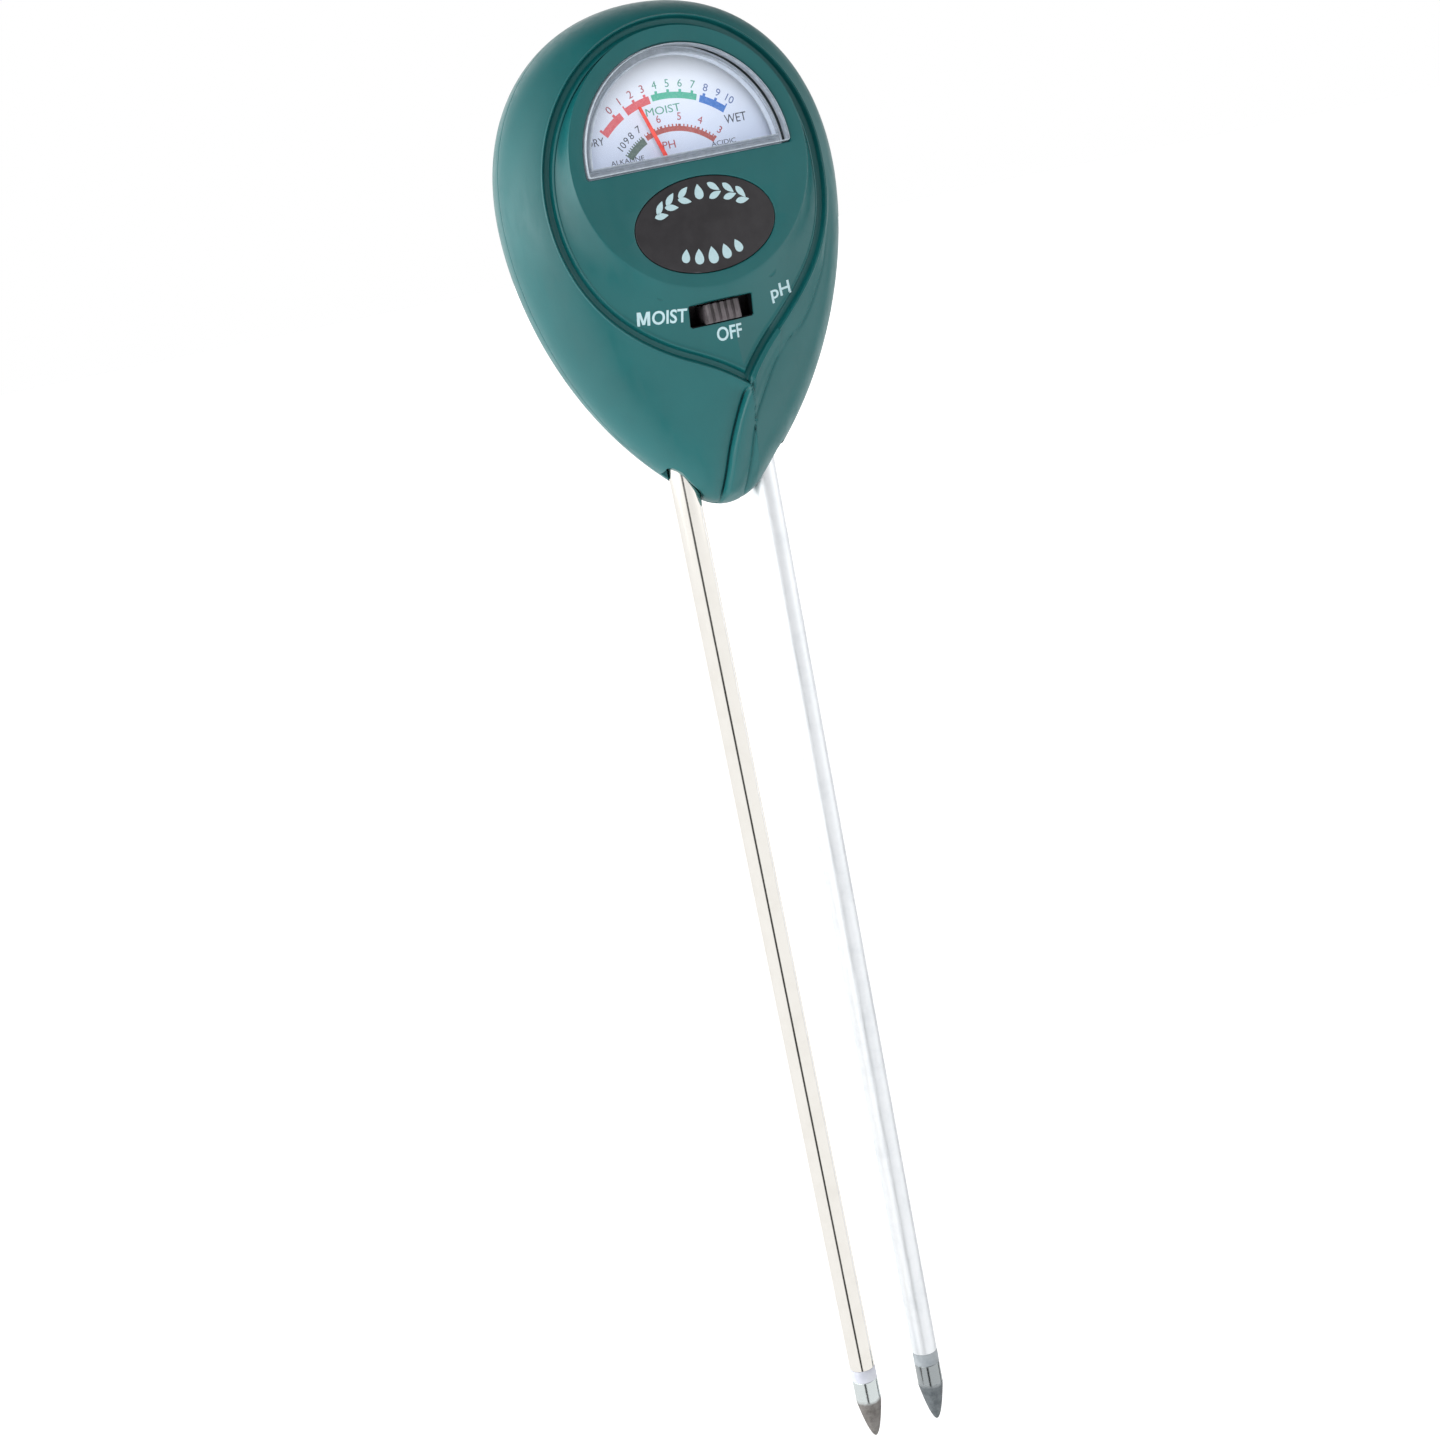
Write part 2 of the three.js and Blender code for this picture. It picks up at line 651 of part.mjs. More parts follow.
function circuitBoardGeometry() {
  const { halfWidth, top, bottom, front, thickness } = board;
  const middle = (front - thickness / 2);
  const blank = box(2 * halfWidth, top - bottom, thickness, 0, (top + bottom) / 2, middle);
  const screwHoles = boardPosts.map(([x, y]) => rod(smallScrew.radius + 0.1, -16, -9, x, y, 10));
  const terminalHoles = terminalXs.map((x) => rod(0.6, -16, -9, x, slot.v, 10));
  return cut(blank, ...screwHoles, ...terminalHoles);
}

function resistorGeometry() {
  const body = new THREE.CapsuleGeometry(1.1, 4, 2, 10).rotateZ(Math.PI / 2);
  const lead = rod(0.3, -5, 5, 0, 0, 6).rotateY(Math.PI / 2);
  const legs = [-1, 1].map((side) => rod(0.3, -0.2, 1.15, side * 4.8, 0, 6));
  return join(body, lead, ...legs);
}

// ---------------------------------------------------------------- probes
// A probe is a tube, an insulating ring and a pointed tip that a rod joins to the meter.

function probeTubeGeometry() {
  return tube(probe.radius, probe.bore, probe.tip + probe.ring, probe.top);
}

function insulatingRingGeometry() {
  return tube(probe.radius, 0.95, probe.tip, probe.tip + probe.ring);
}

function probeTipGeometry() {
  const shoulder = 8.5;
  const steps = 6;
  const profile = [new THREE.Vector2(0, 0)];
  for (let i = 1; i <= steps; i += 1) {
    const share = i / steps;
    profile.push(new THREE.Vector2(probe.radius * share ** 0.62, shoulder * share));
  }
  profile.push(new THREE.Vector2(probe.radius, probe.tip));
  profile.push(new THREE.Vector2(0, probe.tip));
  return new THREE.LatheGeometry(profile, 24).rotateX(Math.PI / 2);
}

function coreRodGeometry() {
  return rod(0.85, probe.tip, probe.top + 3, 0, 0, 12);
}

// A moulded block that grips both probes just above the head's mouth.
function probeHolderGeometry() {
  const [middle, height] = [221, 8];
  const block = box(24, 10, height, 0, 0, middle);
  const bore = rod(probe.radius + 0.06, middle - height, middle + height, 0, 0, 24);
  return cut(block, alongProbe(bore, -1), alongProbe(bore, 1));
}

// ---------------------------------------------------------------- wires and screws

function wireGeometry(points) {
  const path = new THREE.CatmullRomCurve3(points.map(([x, y, z]) => new THREE.Vector3(x, y, z)));
  const section = new THREE.Shape();
  section.absarc(0, 0, 0.45, 0, 2 * Math.PI);
  const options = { steps: 16, curveSegments: 3, bevelEnabled: false, extrudePath: path };
  return new THREE.ExtrudeGeometry(section, options);
}

// A pan-head screw along z, with its head above the origin and a cross recess.
function screwGeometry(radius, headRadius, headHeight, length) {
  const top = headHeight;
  const profile = [
    new THREE.Vector2(0, -length),
    new THREE.Vector2(radius * 0.4, -length),
    new THREE.Vector2(radius, -length + radius * 1.5),
    new THREE.Vector2(radius, 0),
    new THREE.Vector2(headRadius, 0),
    new THREE.Vector2(headRadius, top * 0.55),
    new THREE.Vector2(headRadius * 0.6, top),
    new THREE.Vector2(0, top),
  ];
  const body = new THREE.LatheGeometry(profile, 12).rotateX(Math.PI / 2);
  const arm = box(headRadius * 1.1, headRadius * 0.3, top, 0, 0, top);
  return cut(body, arm, arm.clone().rotateZ(Math.PI / 2));
}

// ---------------------------------------------------------------- assembly

const meter = new THREE.Group();
meter.name = 'soil_moisture_meter';

function add(parent, name, geometry, material, place = [0, 0, 0], turn = [0, 0, 0]) {
  const mesh = new THREE.Mesh(geometry, material);
  mesh.name = name;
  mesh.position.set(...place);
  mesh.rotation.set(...turn);
  parent.add(mesh);
  return mesh;
}

function subgroup(parent, place, turn = [0, 0, 0]) {
  const group = new THREE.Group();
  group.position.set(...place);
  group.rotation.set(...turn);
  parent.add(group);
  return group;
}

function addShells() {
  add(meter, 'front_shell', frontShellGeometry(), materials.greenPlastic);
  add(meter, 'rear_shell', rearShellGeometry(), materials.greenPlastic);
  const length = shellScrew.headY - shellScrew.tipY;
  const { radius, headRadius, headHeight } = shellScrew;
  const names = ['upper_left', 'upper_right', 'lower_left', 'lower_right'];
  shellScrews.forEach(([x, z], i) => {
    const screw = screwGeometry(radius, headRadius, headHeight, length);
    const place = [x, shellScrew.headY, z];
    add(meter, `shell_screw_${names[i]}`, screw, materials.steel, place, [-Math.PI / 2, 0, 0]);
  });
}

function addSmallScrews(parent, name, places, backZ) {
  ['left', 'right'].forEach((side, i) => {
    const { radius, headRadius, headHeight, length } = smallScrew;
    const screw = screwGeometry(radius, headRadius, headHeight, length);
    const [x, y] = places[i];
    add(parent, `${name}_${side}`, screw, materials.steel, [x, y, backZ], [Math.PI, 0, 0]);
  });
}

function addFaceParts(faceGroup) {
  add(faceGroup, 'dial_window', windowGeometry(), materials.clearPlastic);
  add(faceGroup, 'dial_plate', dialPlateGeometry(), materials.dialCard);
  add(faceGroup, 'badge_plate', badgeGeometry(), materials.blackPlastic, [0, badge.v, 0]);
  addSmallScrews(faceGroup, 'dial_screw', dialPosts, -dial.depth - dial.thickness);
  const plateBack = -dial.depth + movement.plateFront - movement.plateThickness;
  addSmallScrews(faceGroup, 'movement_screw', movementPosts, plateBack);
  addSmallScrews(faceGroup, 'board_screw', boardPosts, board.front - board.thickness);
}

function addMovement(faceGroup) {
  const frame = subgroup(faceGroup, [0, pivot.v, -dial.depth]);
  const { plateFront, plateThickness } = movement;
  add(frame, 'movement_plate', movementPlateGeometry(), materials.whitePlastic);
  add(frame, 'yoke_ring', tube(yoke.outer, yoke.inner, yoke.back, yoke.front, 40), materials.steel);
  add(frame, 'core_magnet', rod(core.radius, core.back, core.front, 0, 0, 32), materials.magnet);
  [['upper', 1], ['lower', -1]].forEach(([name, side]) => {
    const [inner, outer] = [core.radius + 0.05, yoke.inner - 0.1];
    const spacer = box(1.8, outer - inner, 3, 0, (side * (inner + outer)) / 2, -5.75);
    add(frame, `core_spacer_${name}`, spacer, materials.brass);
  });
  add(frame, 'front_bridge', bridgeGeometry(bridge.front, yoke.front), materials.brass);
  add(frame, 'rear_bridge', bridgeGeometry(bridge.rear, plateFront - plateThickness),
    materials.brass, [0, 0, 0], [0, 0, Math.PI / 2]);
  add(frame, 'front_jewel', rod(jewel.radius, 2.8, 4.3), materials.brass);
  add(frame, 'rear_jewel', rod(jewel.radius, -14.5, -13), materials.brass);
  add(frame, 'front_hairspring', hairspringGeometry(0.3), materials.brass);
  add(frame, 'rear_hairspring', hairspringGeometry(-11.5), materials.brass);

  const moving = subgroup(frame, [0, 0, 0], [0, 0, pivot.restAngle]);
  add(moving, 'needle', needleGeometry(), materials.needleRed);
  add(moving, 'needle_hub', needleHubGeometry(), materials.needleRed);
  add(moving, 'front_pivot', rod(0.35, -0.75, 2.75, 0, 0, 12), materials.steel);
  add(moving, 'rear_pivot', rod(0.35, -12.95, -10.6, 0, 0, 12), materials.steel);
  const former = loop(coil.inner, coil.former, coil.front, coil.back, coil.halfDepth);
  const windingInner = coil.inner + coil.former + 0.05;
  const winding = loop(windingInner, coil.wire, coil.front + 0.7, coil.back - 0.7, coil.halfDepth - 0.3);
  add(moving, 'coil_former', former, materials.aluminium);
  add(moving, 'coil_winding', winding, materials.copper);
}

function addSwitch(faceGroup) {
  const frame = subgroup(faceGroup, [0, slot.v, 0]);
  add(frame, 'switch_knob', knobGeometry(), materials.knobPlastic);
  add(frame, 'switch_wiper', wiperGeometry(), materials.copper);
  add(frame, 'switch_can', canGeometry(), materials.steel);
  add(frame, 'switch_base', switchBaseGeometry(), materials.board);
  terminalXs.forEach((x, i) => {
    add(frame, `switch_terminal_${i + 1}`, rod(0.4, -14.3, -10.9, x, 0, 10), materials.copper);
  });
  add(faceGroup, 'circuit_board', circuitBoardGeometry(), materials.board);
  const resistorZ = board.front - board.thickness - 1.15;
  add(faceGroup, 'moisture_resistor', resistorGeometry(), materials.resistorBody, [0, -24, resistorZ]);
  add(faceGroup, 'ph_resistor', resistorGeometry(), materials.resistorBody, [0, -31.6, resistorZ]);
}

function addProbe(name, side, lift, metal) {
  const place = [(side * probe.tipSpacing) / 2, 0, lift];
  const group = subgroup(meter, place, [0, side * probeLean, 0]);
  add(group, `${name}_probe_tube`, probeTubeGeometry(), metal);
  add(group, `${name}_insulating_ring`, insulatingRingGeometry(), materials.ringPlastic);
  add(group, `${name}_probe_tip`, probeTipGeometry(), materials.tipMetal);
  add(group, `${name}_core_rod`, coreRodGeometry(), materials.copper);
}

function addWires() {
  const half = probe.tipSpacing / 2 + (probe.top + 3) * Math.tan(probeLean);
  const wires = {
    left_probe_wire: [[-half, 0, 233.3], [-half - 0.2, 1.4, 235], [-8, 0.8, 237], [-8, -1.8, 237.4]],
    right_probe_wire: [[half, 0, 231.3], [half + 0.2, 1.6, 234], [8, 0.8, 237], [8, -1.8, 237.4]],
    left_coil_wire: [[-6.6, -0.6, 242.4], [-7, 3, 244], [-6.4, 7.6, 249], [-3.2, 8.2, 253]],
    right_coil_wire: [[6.6, -0.6, 242.4], [7, 3, 244], [6.4, 7.6, 249], [3.2, 8.2, 253]],
  };
  Object.entries(wires).forEach(([name, points]) => {
    const material = name.startsWith('left') ? materials.redWire : materials.blackWire;
    add(meter, name, wireGeometry(points), material);
  });
}

addShells();
const faceGroup = subgroup(meter, [0, face.y, face.z], [faceTurn, 0, 0]);
addFaceParts(faceGroup);
addMovement(faceGroup);
addSwitch(faceGroup);
addProbe('left', -1, leftProbeLift, materials.nickel);
addProbe('right', 1, 0, materials.aluminium);
add(meter, 'probe_holder', probeHolderGeometry(), materials.whitePlastic);
addWires();

export default meter;
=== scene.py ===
import math

import bmesh
import bpy
import numpy as np
from mathutils import Matrix, Vector


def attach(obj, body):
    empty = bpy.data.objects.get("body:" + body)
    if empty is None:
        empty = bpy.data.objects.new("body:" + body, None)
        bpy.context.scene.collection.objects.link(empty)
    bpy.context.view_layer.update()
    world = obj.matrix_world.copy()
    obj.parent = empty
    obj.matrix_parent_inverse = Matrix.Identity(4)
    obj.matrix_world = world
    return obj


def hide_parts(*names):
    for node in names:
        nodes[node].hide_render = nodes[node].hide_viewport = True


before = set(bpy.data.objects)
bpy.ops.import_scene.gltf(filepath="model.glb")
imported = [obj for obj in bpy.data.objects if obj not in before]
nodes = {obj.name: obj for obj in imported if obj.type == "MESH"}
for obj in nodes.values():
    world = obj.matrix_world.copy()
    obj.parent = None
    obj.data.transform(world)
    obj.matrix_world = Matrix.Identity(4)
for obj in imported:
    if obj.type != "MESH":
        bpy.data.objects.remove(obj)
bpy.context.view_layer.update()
scene = bpy.context.scene

MM = 0.001  # every length below is in millimetres; meshes are scaled by this when they are made

# ---------------------------------------------------------------- dimensions of the meter

HEAD_Z = 258.0  # the middle of the head's widest line, where all rings are centred
HEAD_HALF, HEAD_TOP, HEAD_NOSE = 33.1, 293.0, 200.0
WALL = 2.0
FACE_TILT = math.radians(5.7)
FACE_Y, FACE_Z, FACE_RADIUS = -13.0, 264.5, 23.1
CHANNEL_WIDTH = 1.8
CHANNEL_TIP = (3.11, 222.4)
WINDOW_RADIUS, WINDOW_BOTTOM = 20.1, -0.6
# The window edges' dark lines are painted shade at the steps inside the clear plastic.
WALL_SHADE_LINES = (-0.3, -2.2, -4.3)  # depths of the dark lines in the window's edges
DIAL_N = -7.0
PIVOT_V = -6.2
NEEDLE_REST = math.radians(17.5)
BADGE_V, BADGE_HALF, BADGE_HEIGHT = -12.3, 13.85, 8.5
SLOT_V, SLOT_LENGTH, SLOT_HEIGHT = -28.0, 12.7, 3.9
PROBE_RADIUS, PROBE_BORE, PROBE_TOP = 2.625, 1.95, 228.0
PROBE_TIP, PROBE_RING, PROBE_SPACING = 13.5, 2.7, 14.4
PROBE_LEAN = math.radians(0.29)
TIP_SHOULDER = 8.5
LEFT_LIFT = 2.0
BACK_DEPTH, PARTING_GAP = 16.5, 0.1
SHELL_SCREWS = [(-16.3, 283.4), (16.3, 283.4), (-16.6, 232.5), (16.6, 232.5)]

# Soft patches of light: azimuth from the front towards the right, elevation (degrees), strength.
SOFT_LIGHTS = [
    (-72, -10, 2.7), (-108, -10, 2.4), (-36, -10, 0.58), (-144, -10, 0.67), (36, -10, 0.27), (72, -10, 2.0), (144, -10, 0.7),
    (180, -10, 0.36), (-90, 32, 0.9), (-45, 32, 0.45), (-135, 32, 0.18), (45, 32, 0.6), (180, 32, 1.1),
    (180, -50, 0.9), (-120, -50, 0.6), (-60, -50, 0.7), (60, -50, 1.0), (120, -50, 1.6)]
SOFTNESS, SKY_FILL = 7.0, 0.0
DARK_SLITS, SLIT_SHADE = [(-29, 8), (97, 7)], 0.04  # azimuth and half width of what the probes reflect
TABLE_WHITE, FLOOR_GLOW, DIAL_LAMP_POWER = 1.0, 0.62, 1.0

# ---------------------------------------------------------------- mesh helpers


def add_mesh(name, points, faces):
    """A new mesh object from points in millimetres, with its faces turned outwards."""
    mesh = bpy.data.meshes.new(name)
    mesh.from_pydata((np.asarray(points, float) * MM).tolist(), [], [list(f) for f in faces])
    tidy = bmesh.new()
    tidy.from_mesh(mesh)
    bmesh.ops.recalc_face_normals(tidy, faces=tidy.faces)
    tidy.to_mesh(mesh)
    tidy.free()
    obj = bpy.data.objects.new(name, mesh)
    scene.collection.objects.link(obj)
    return obj


def loft(rings, start=None, end=None):
    """Points and faces of a skin over closed rings. An end is a point (a fan), "flat" (one face) or None (open)."""
    rings = [np.asarray(r, float) for r in rings]
    count = len(rings[0])
    points = np.concatenate(rings)
    faces = []
    for k in range(len(rings) - 1):
        a = k * count
        for i in range(count):
            j = (i + 1) % count
            faces.append((a + i, a + j, a + count + j, a + count + i))
    for cap, base in ((start, 0), (end, (len(rings) - 1) * count)):
        if cap is None:
            continue
        if isinstance(cap, str):
            faces.append([base + i for i in range(count)])
        else:
            tip = len(points)
            points = np.concatenate([points, [cap]])
            faces += [(base + i, base + (i + 1) % count, tip) for i in range(count)]
    return points, faces


def closed_loft(rings):
    """A ring-shaped skin: the last ring joins the first."""
    points, faces = loft(rings)
    count = len(rings[0])
    last = (len(rings) - 1) * count
    faces += [(last + i, last + (i + 1) % count, (i + 1) % count, i) for i in range(count)]
    return points, faces


def bake(obj):
    """Replaces obj's mesh by its mesh with the modifiers applied."""
    graph = bpy.context.evaluated_depsgraph_get()
    mesh = bpy.data.meshes.new_from_object(obj.evaluated_get(graph), depsgraph=graph)
    obj.modifiers.clear()
    obj.data = mesh
    return obj


def combine(obj, tools, operation):
    """Cuts obj by the tools, or joins them to it, and removes the tools."""
    for tool in tools:
        step = obj.modifiers.new(operation, "BOOLEAN")
        step.operation, step.object, step.solver = operation, tool, "MANIFOLD"
    bake(obj)
    for tool in tools:
        bpy.data.objects.remove(tool)
    return obj


def soften(obj, angle=30):
    """Smooth shading, with every edge sharper than the angle kept sharp."""
    mesh = obj.data
    mesh.polygons.foreach_set("use_smooth", [True] * len(mesh.polygons))
    mesh.set_sharp_from_angle(angle=math.radians(angle))
    return obj


def bevel(obj, width, segments=3, angle=35):
    step = obj.modifiers.new("bevel", "BEVEL")
    step.width, step.segments, step.limit_method = width * MM, segments, "ANGLE"
    step.angle_limit = math.radians(angle)
    step.harden_normals = False
    return obj


def circle(radius, count, z=0.0, start=0.0):
    angle = start + np.arange(count) * 2 * math.pi / count
    return np.stack([radius * np.cos(angle), radius * np.sin(angle), np.full(count, float(z))], 1)


def turned(name, profile, count=64):
    """A solid of revolution about z; the profile is (radius, z) from one end to the other."""
    rings, start, end = [], None, None
    for k, (radius, z) in enumerate(profile):
        if radius < 1e-6 and k == 0:
            start = (0, 0, z)
        elif radius < 1e-6:
            end = (0, 0, z)
        else:
            rings.append(circle(radius, count, z))
    if start is None and end is None:
        return add_mesh(name, *closed_loft(rings))
    return add_mesh(name, *loft(rings, start, end))


def arc(centre, radius, start, end, steps):
    """Points of an arc in a (radius, z) profile, angles in degrees."""
    angles = np.radians(np.linspace(start, end, steps))
    return [(centre[0] + radius * math.cos(a), centre[1] + radius * math.sin(a)) for a in angles]


def place(obj, matrix):
    """Moves a mesh's own points, in millimetres, so that the object stays at the origin."""
    scaled = matrix.copy()
    scaled.translation = matrix.translation * MM
    obj.data.transform(scaled)
    return obj


# The face's own frame: x to the right, v up along the face, n out of it.
FACE = Matrix.Translation((0, FACE_Y, FACE_Z)) @ Matrix.Rotation(math.pi / 2 - FACE_TILT, 4, "X")

OUT_OF_FACE = Vector((0, -math.cos(FACE_TILT), math.sin(FACE_TILT)))


def face_xyz(x, v, n):
    """Face coordinates to the row frame, as arrays in millimetres."""
    c, s = math.cos(math.pi / 2 - FACE_TILT), math.sin(math.pi / 2 - FACE_TILT)
    return np.stack([x + 0 * v, FACE_Y + v * c - n * s, FACE_Z + v * s + n * c], -1)


def on_face_at(point):
    """Face coordinates (x, v, n) of a place in millimetres."""
    return FACE.inverted() @ Vector(point)


# ---------------------------------------------------------------- head outlines as polar curves


def bezier(start, *segments, steps=240):
    t = np.linspace(0, 1, steps)[:, None]
    points, p0 = [np.array([start], float)], np.array(start, float)
    for p1, p2, p3 in segments:
        p1, p2, p3 = (np.array(p, float) for p in (p1, p2, p3))
        curve = p0 * (1 - t) ** 3 + 3 * p1 * t * (1 - t) ** 2 + 3 * p2 * t**2 * (1 - t) + p3 * t**3
        points.append(curve[1:])
        p0 = p3
    return np.concatenate(points)


def polar(points):
    """Angle in degrees (rising, unwrapped) and radius about the head's middle."""
    angle = np.degrees(np.unwrap(np.arctan2(points[:, 1] - HEAD_Z, points[:, 0])))
    return angle, np.hypot(points[:, 0], points[:, 1] - HEAD_Z)


head_half = bezier(
    (0, 200),
    ((4.5, 200), (6.6, 202.9), (9.6, 205.6)),
    ((27.6, 222), (33.1, 244), (33.1, 258)),
    ((33.1, 279), (20, 293), (0, 293)),
)
head_angle, head_reach = polar(head_half)  # -90 to 90 degrees


def rim_radius(theta):
    """The head's outline; it is the same on both sides."""
    folded = np.degrees(np.arcsin(np.clip(np.sin(np.radians(theta)), -1, 1)))
    return np.interp(folded, head_angle, head_reach)


channel_path = bezier(
    CHANNEL_TIP,
    ((3.54, 223.7), (7.5, 227.9), (9.7, 229.75)),
    ((20.1, 238.6), (27.2, 245.1), (27.2, 261)),
    ((27.2, 275.6), (15.6, 289.4), (0.4, 289.4)),
    ((-15.7, 289.4), (-27.9, 275.5), (-27.9, 259.1)),
    ((-27.9, 245.2), (-20.25, 235), (-7.6, 228.9)),
    ((-1.5, 225.9), (-1.1, 225.4), CHANNEL_TIP),
)


def channel_radius(theta, inset):
    """The channel's outline moved inwards by a distance, with a sharp corner at its tip."""
    path = channel_path
    first, last = path[1] - path[0], path[-1] - path[-2]
    first, last = first / np.hypot(*first), last / np.hypot(*last)
    path = np.concatenate([[path[0] - 4 * first], path, [path[-1] + 4 * last]])
    along = np.gradient(path, axis=0)
    along /= np.hypot(along[:, 0], along[:, 1])[:, None]
    moved = path + inset * np.stack([-along[:, 1], along[:, 0]], 1)
    angle, reach = polar(moved)
    middle = np.argmin(np.abs(angle - (angle[0] + angle[-1]) / 2))
    best = np.full(np.shape(theta), np.inf)
    for part in (slice(0, middle + 1), slice(middle, None)):
        a, r = angle[part], reach[part]
        for turn in (-720, -360, 0, 360, 720):
            best = np.minimum(best, np.interp(theta, a + turn, r, left=np.inf, right=np.inf))
    return best


# ---------------------------------------------------------------- the head's front surface


def face_y(z):
    return FACE_Y + (z - FACE_Z) * math.tan(FACE_TILT)


def channel_drop(z):
    v = z - FACE_Z
    return 3.5 - 0.05 * (v + np.hypot(v, 8))


def ring(theta, radius, depth):
    """Points at angles and radii; depth(x, z) gives y."""
    a = np.radians(theta)
    x, z = radius * np.cos(a), HEAD_Z + radius * np.sin(a)
    return np.stack([x, depth(x, z), z], 1)


def disc_radius(theta, radius=FACE_RADIUS):
    a, offset = np.radians(theta), FACE_Z - HEAD_Z
    return offset * np.sin(a) + np.sqrt(radius**2 - (offset * np.cos(a)) ** 2)


SKIRT_END = CHANNEL_WIDTH + 0.4


def skirt_share_drop(share):
    """How much of the channel's drop the skirt has at a share of its width; its start is rounded."""
    eased = share - 0.035 * (1 - np.exp(-share / 0.035))
    return (np.sin(eased * math.pi / 2) * 0.5 + eased * 0.5) / 0.965


def skirt_depth(theta, radius):
    top, edge = disc_radius(theta), channel_radius(theta, SKIRT_END)
    share = np.clip((radius - top) / (edge - top), 0, 1)
    z = HEAD_Z + radius * np.sin(np.radians(theta))
    return face_y(z) + channel_drop(z) * skirt_share_drop(share)


def front_y(x, z):
    """The front surface inside the channel, at any place."""
    theta = np.degrees(np.arctan2(z - HEAD_Z, x)) % 360
    return skirt_depth(theta, np.hypot(x, z - HEAD_Z))


def edge_line(points):
    """(share, angle) along an edge of the rib, from (angle, distance from the head's middle)."""
    angle, reach = np.array(points, float).T
    inner, outer = channel_radius(angle, 0), rim_radius(angle)
    return np.stack([np.clip((reach - inner) / (outer - inner), 0, 1), angle], 1)


# The rib's two edges on the dome, from the channel to the rim.
CREASE = edge_line([
    (275, 35.6), (274.1, 36.2), (272.4, 37.9), (269.9, 42.2), (268.2, 47.2), (267.5, 52.9), (267.3, 58)])
VALLEY = edge_line([
    (346, 27), (335, 28.3), (322.8, 29.7), (314.3, 30.6), (306, 31.8), (299.8, 32.4), (294.2, 32.4), (289.3, 33.4),
    (285.1, 35.1), (282.2, 36.8), (278.9, 39.3), (275.7, 42.4), (274.2, 45.7), (273.4, 49.2), (272.7, 52.8), (272.2, 58)])
VALLEY_GUIDE = np.concatenate([[(0, 292), (0.2, 288.5)], VALLEY[9:]])  # the mesh column led along the valley
CREASE_COLUMN, VALLEY_COLUMN = 275.0, 290.0


def edge_points(table):
    theta, share = table[:, 1], table[:, 0]
    inner, outer = channel_radius(theta, 0), rim_radius(theta)
    radius, a = inner + (outer - inner) * share, np.radians(theta)
    return np.stack([radius * np.cos(a), HEAD_Z + radius * np.sin(a)], 1)


def smooth_path(points, steps=160):
    """A Catmull-Rom curve through points."""
    p = np.concatenate([[2 * points[0] - points[1]], points, [2 * points[-1] - points[-2]]])
    out = []
    for i in range(1, len(p) - 2):
        t = np.linspace(0, 1, steps // len(points), endpoint=False)[:, None]
        a, b, c, d = p[i - 1], p[i], p[i + 1], p[i + 2]
        out.append(0.5 * (2 * b + (c - a) * t + (2 * a - 5 * b + 4 * c - d) * t**2 + (3 * b - a - 3 * c + d) * t**3))
    return np.concatenate(out + [points[-1:]])


def distance_to(path, x, z):
    """Shortest distance from each place to a path."""
    points = np.stack([x, z], 1)
    best = np.full(len(points), np.inf)
    for a, b in zip(path[:-1], path[1:]):
        d = b - a
        t = np.clip(((points - a) @ d) / max(d @ d, 1e-12), 0, 1)
        best = np.minimum(best, np.hypot(*(points - a - t[:, None] * d).T))
    return best


def smoothstep(low, high, value):
    t = np.clip((value - low) / (high - low), 0, 1)
    return t * t * (3 - 2 * t)


# ---------------------------------------------------------------- front shell

columns = np.concatenate([
    np.arange(0, 262, 1.0), np.arange(262, 273, 0.25), np.arange(273, 275, 0.0625), np.arange(275, 288, 0.125),
    np.arange(288, 291.5, 0.0625), np.arange(291.5, 300, 0.25), np.arange(300, 360, 1.0)])
RIB_FROM, RIB_TO = 240.0, 357.0  # only columns between these are bent towards the rib's edges


def warped(share, amount=1.0):
    """The columns' angles on a ring: two of them follow the rib's edges. Amount 0 leaves them straight."""
    crease = np.interp(share, CREASE[:, 0], CREASE[:, 1])
    valley = np.interp(share, VALLEY_GUIDE[:, 0], VALLEY_GUIDE[:, 1])
    between = (columns > CREASE_COLUMN) & (columns < VALLEY_COLUMN)
    theta = np.interp(columns, [RIB_FROM, CREASE_COLUMN, VALLEY_COLUMN, RIB_TO], [RIB_FROM, crease, valley, RIB_TO])
    run = (columns - CREASE_COLUMN) / (VALLEY_COLUMN - CREASE_COLUMN)
    theta = np.where(between, crease + (valley - crease) * np.clip(run, 0, 1) ** 1.6, theta)
    theta = np.where((columns < RIB_FROM) | (columns > RIB_TO), columns, theta)
    return columns + (theta - columns) * amount


DOME_BEND = math.radians(60)
# Rounded lips, steep walls and a flat floor: (inset from the channel's outline, depth).
CHANNEL_PROFILE = [
    (2.05, 0.01), (1.9, 0.06), (1.78, 0.16), (1.7, 0.3), (1.58, 0.6), (1.48, 0.92), (1.4, 1.05), (1.28, 1.12),
    (0.9, 1.14), (0.52, 1.12), (0.4, 1.05), (0.32, 0.92), (0.22, 0.6), (0.1, 0.3), (0.02, 0.16), (-0.1, 0.06),
    (-0.25, 0.01)]


def dome_point(theta, share, inward=0.0, outward=0.0):
    """The dome at a share of its bend: 1 at the channel, 0 at the parting line."""
    rim, edge = rim_radius(theta), channel_radius(theta, 0)
    across = (1 - math.cos(share * DOME_BEND)) / (1 - math.cos(DOME_BEND))
    rise = math.sin(share * DOME_BEND) / math.sin(DOME_BEND)
    edge_z = HEAD_Z + edge * np.sin(np.radians(theta))
    edge_y = face_y(edge_z) + channel_drop(edge_z)
    radius = rim + (edge - rim) * across - inward
    return ring(theta, radius, lambda x, z: edge_y * rise + outward)


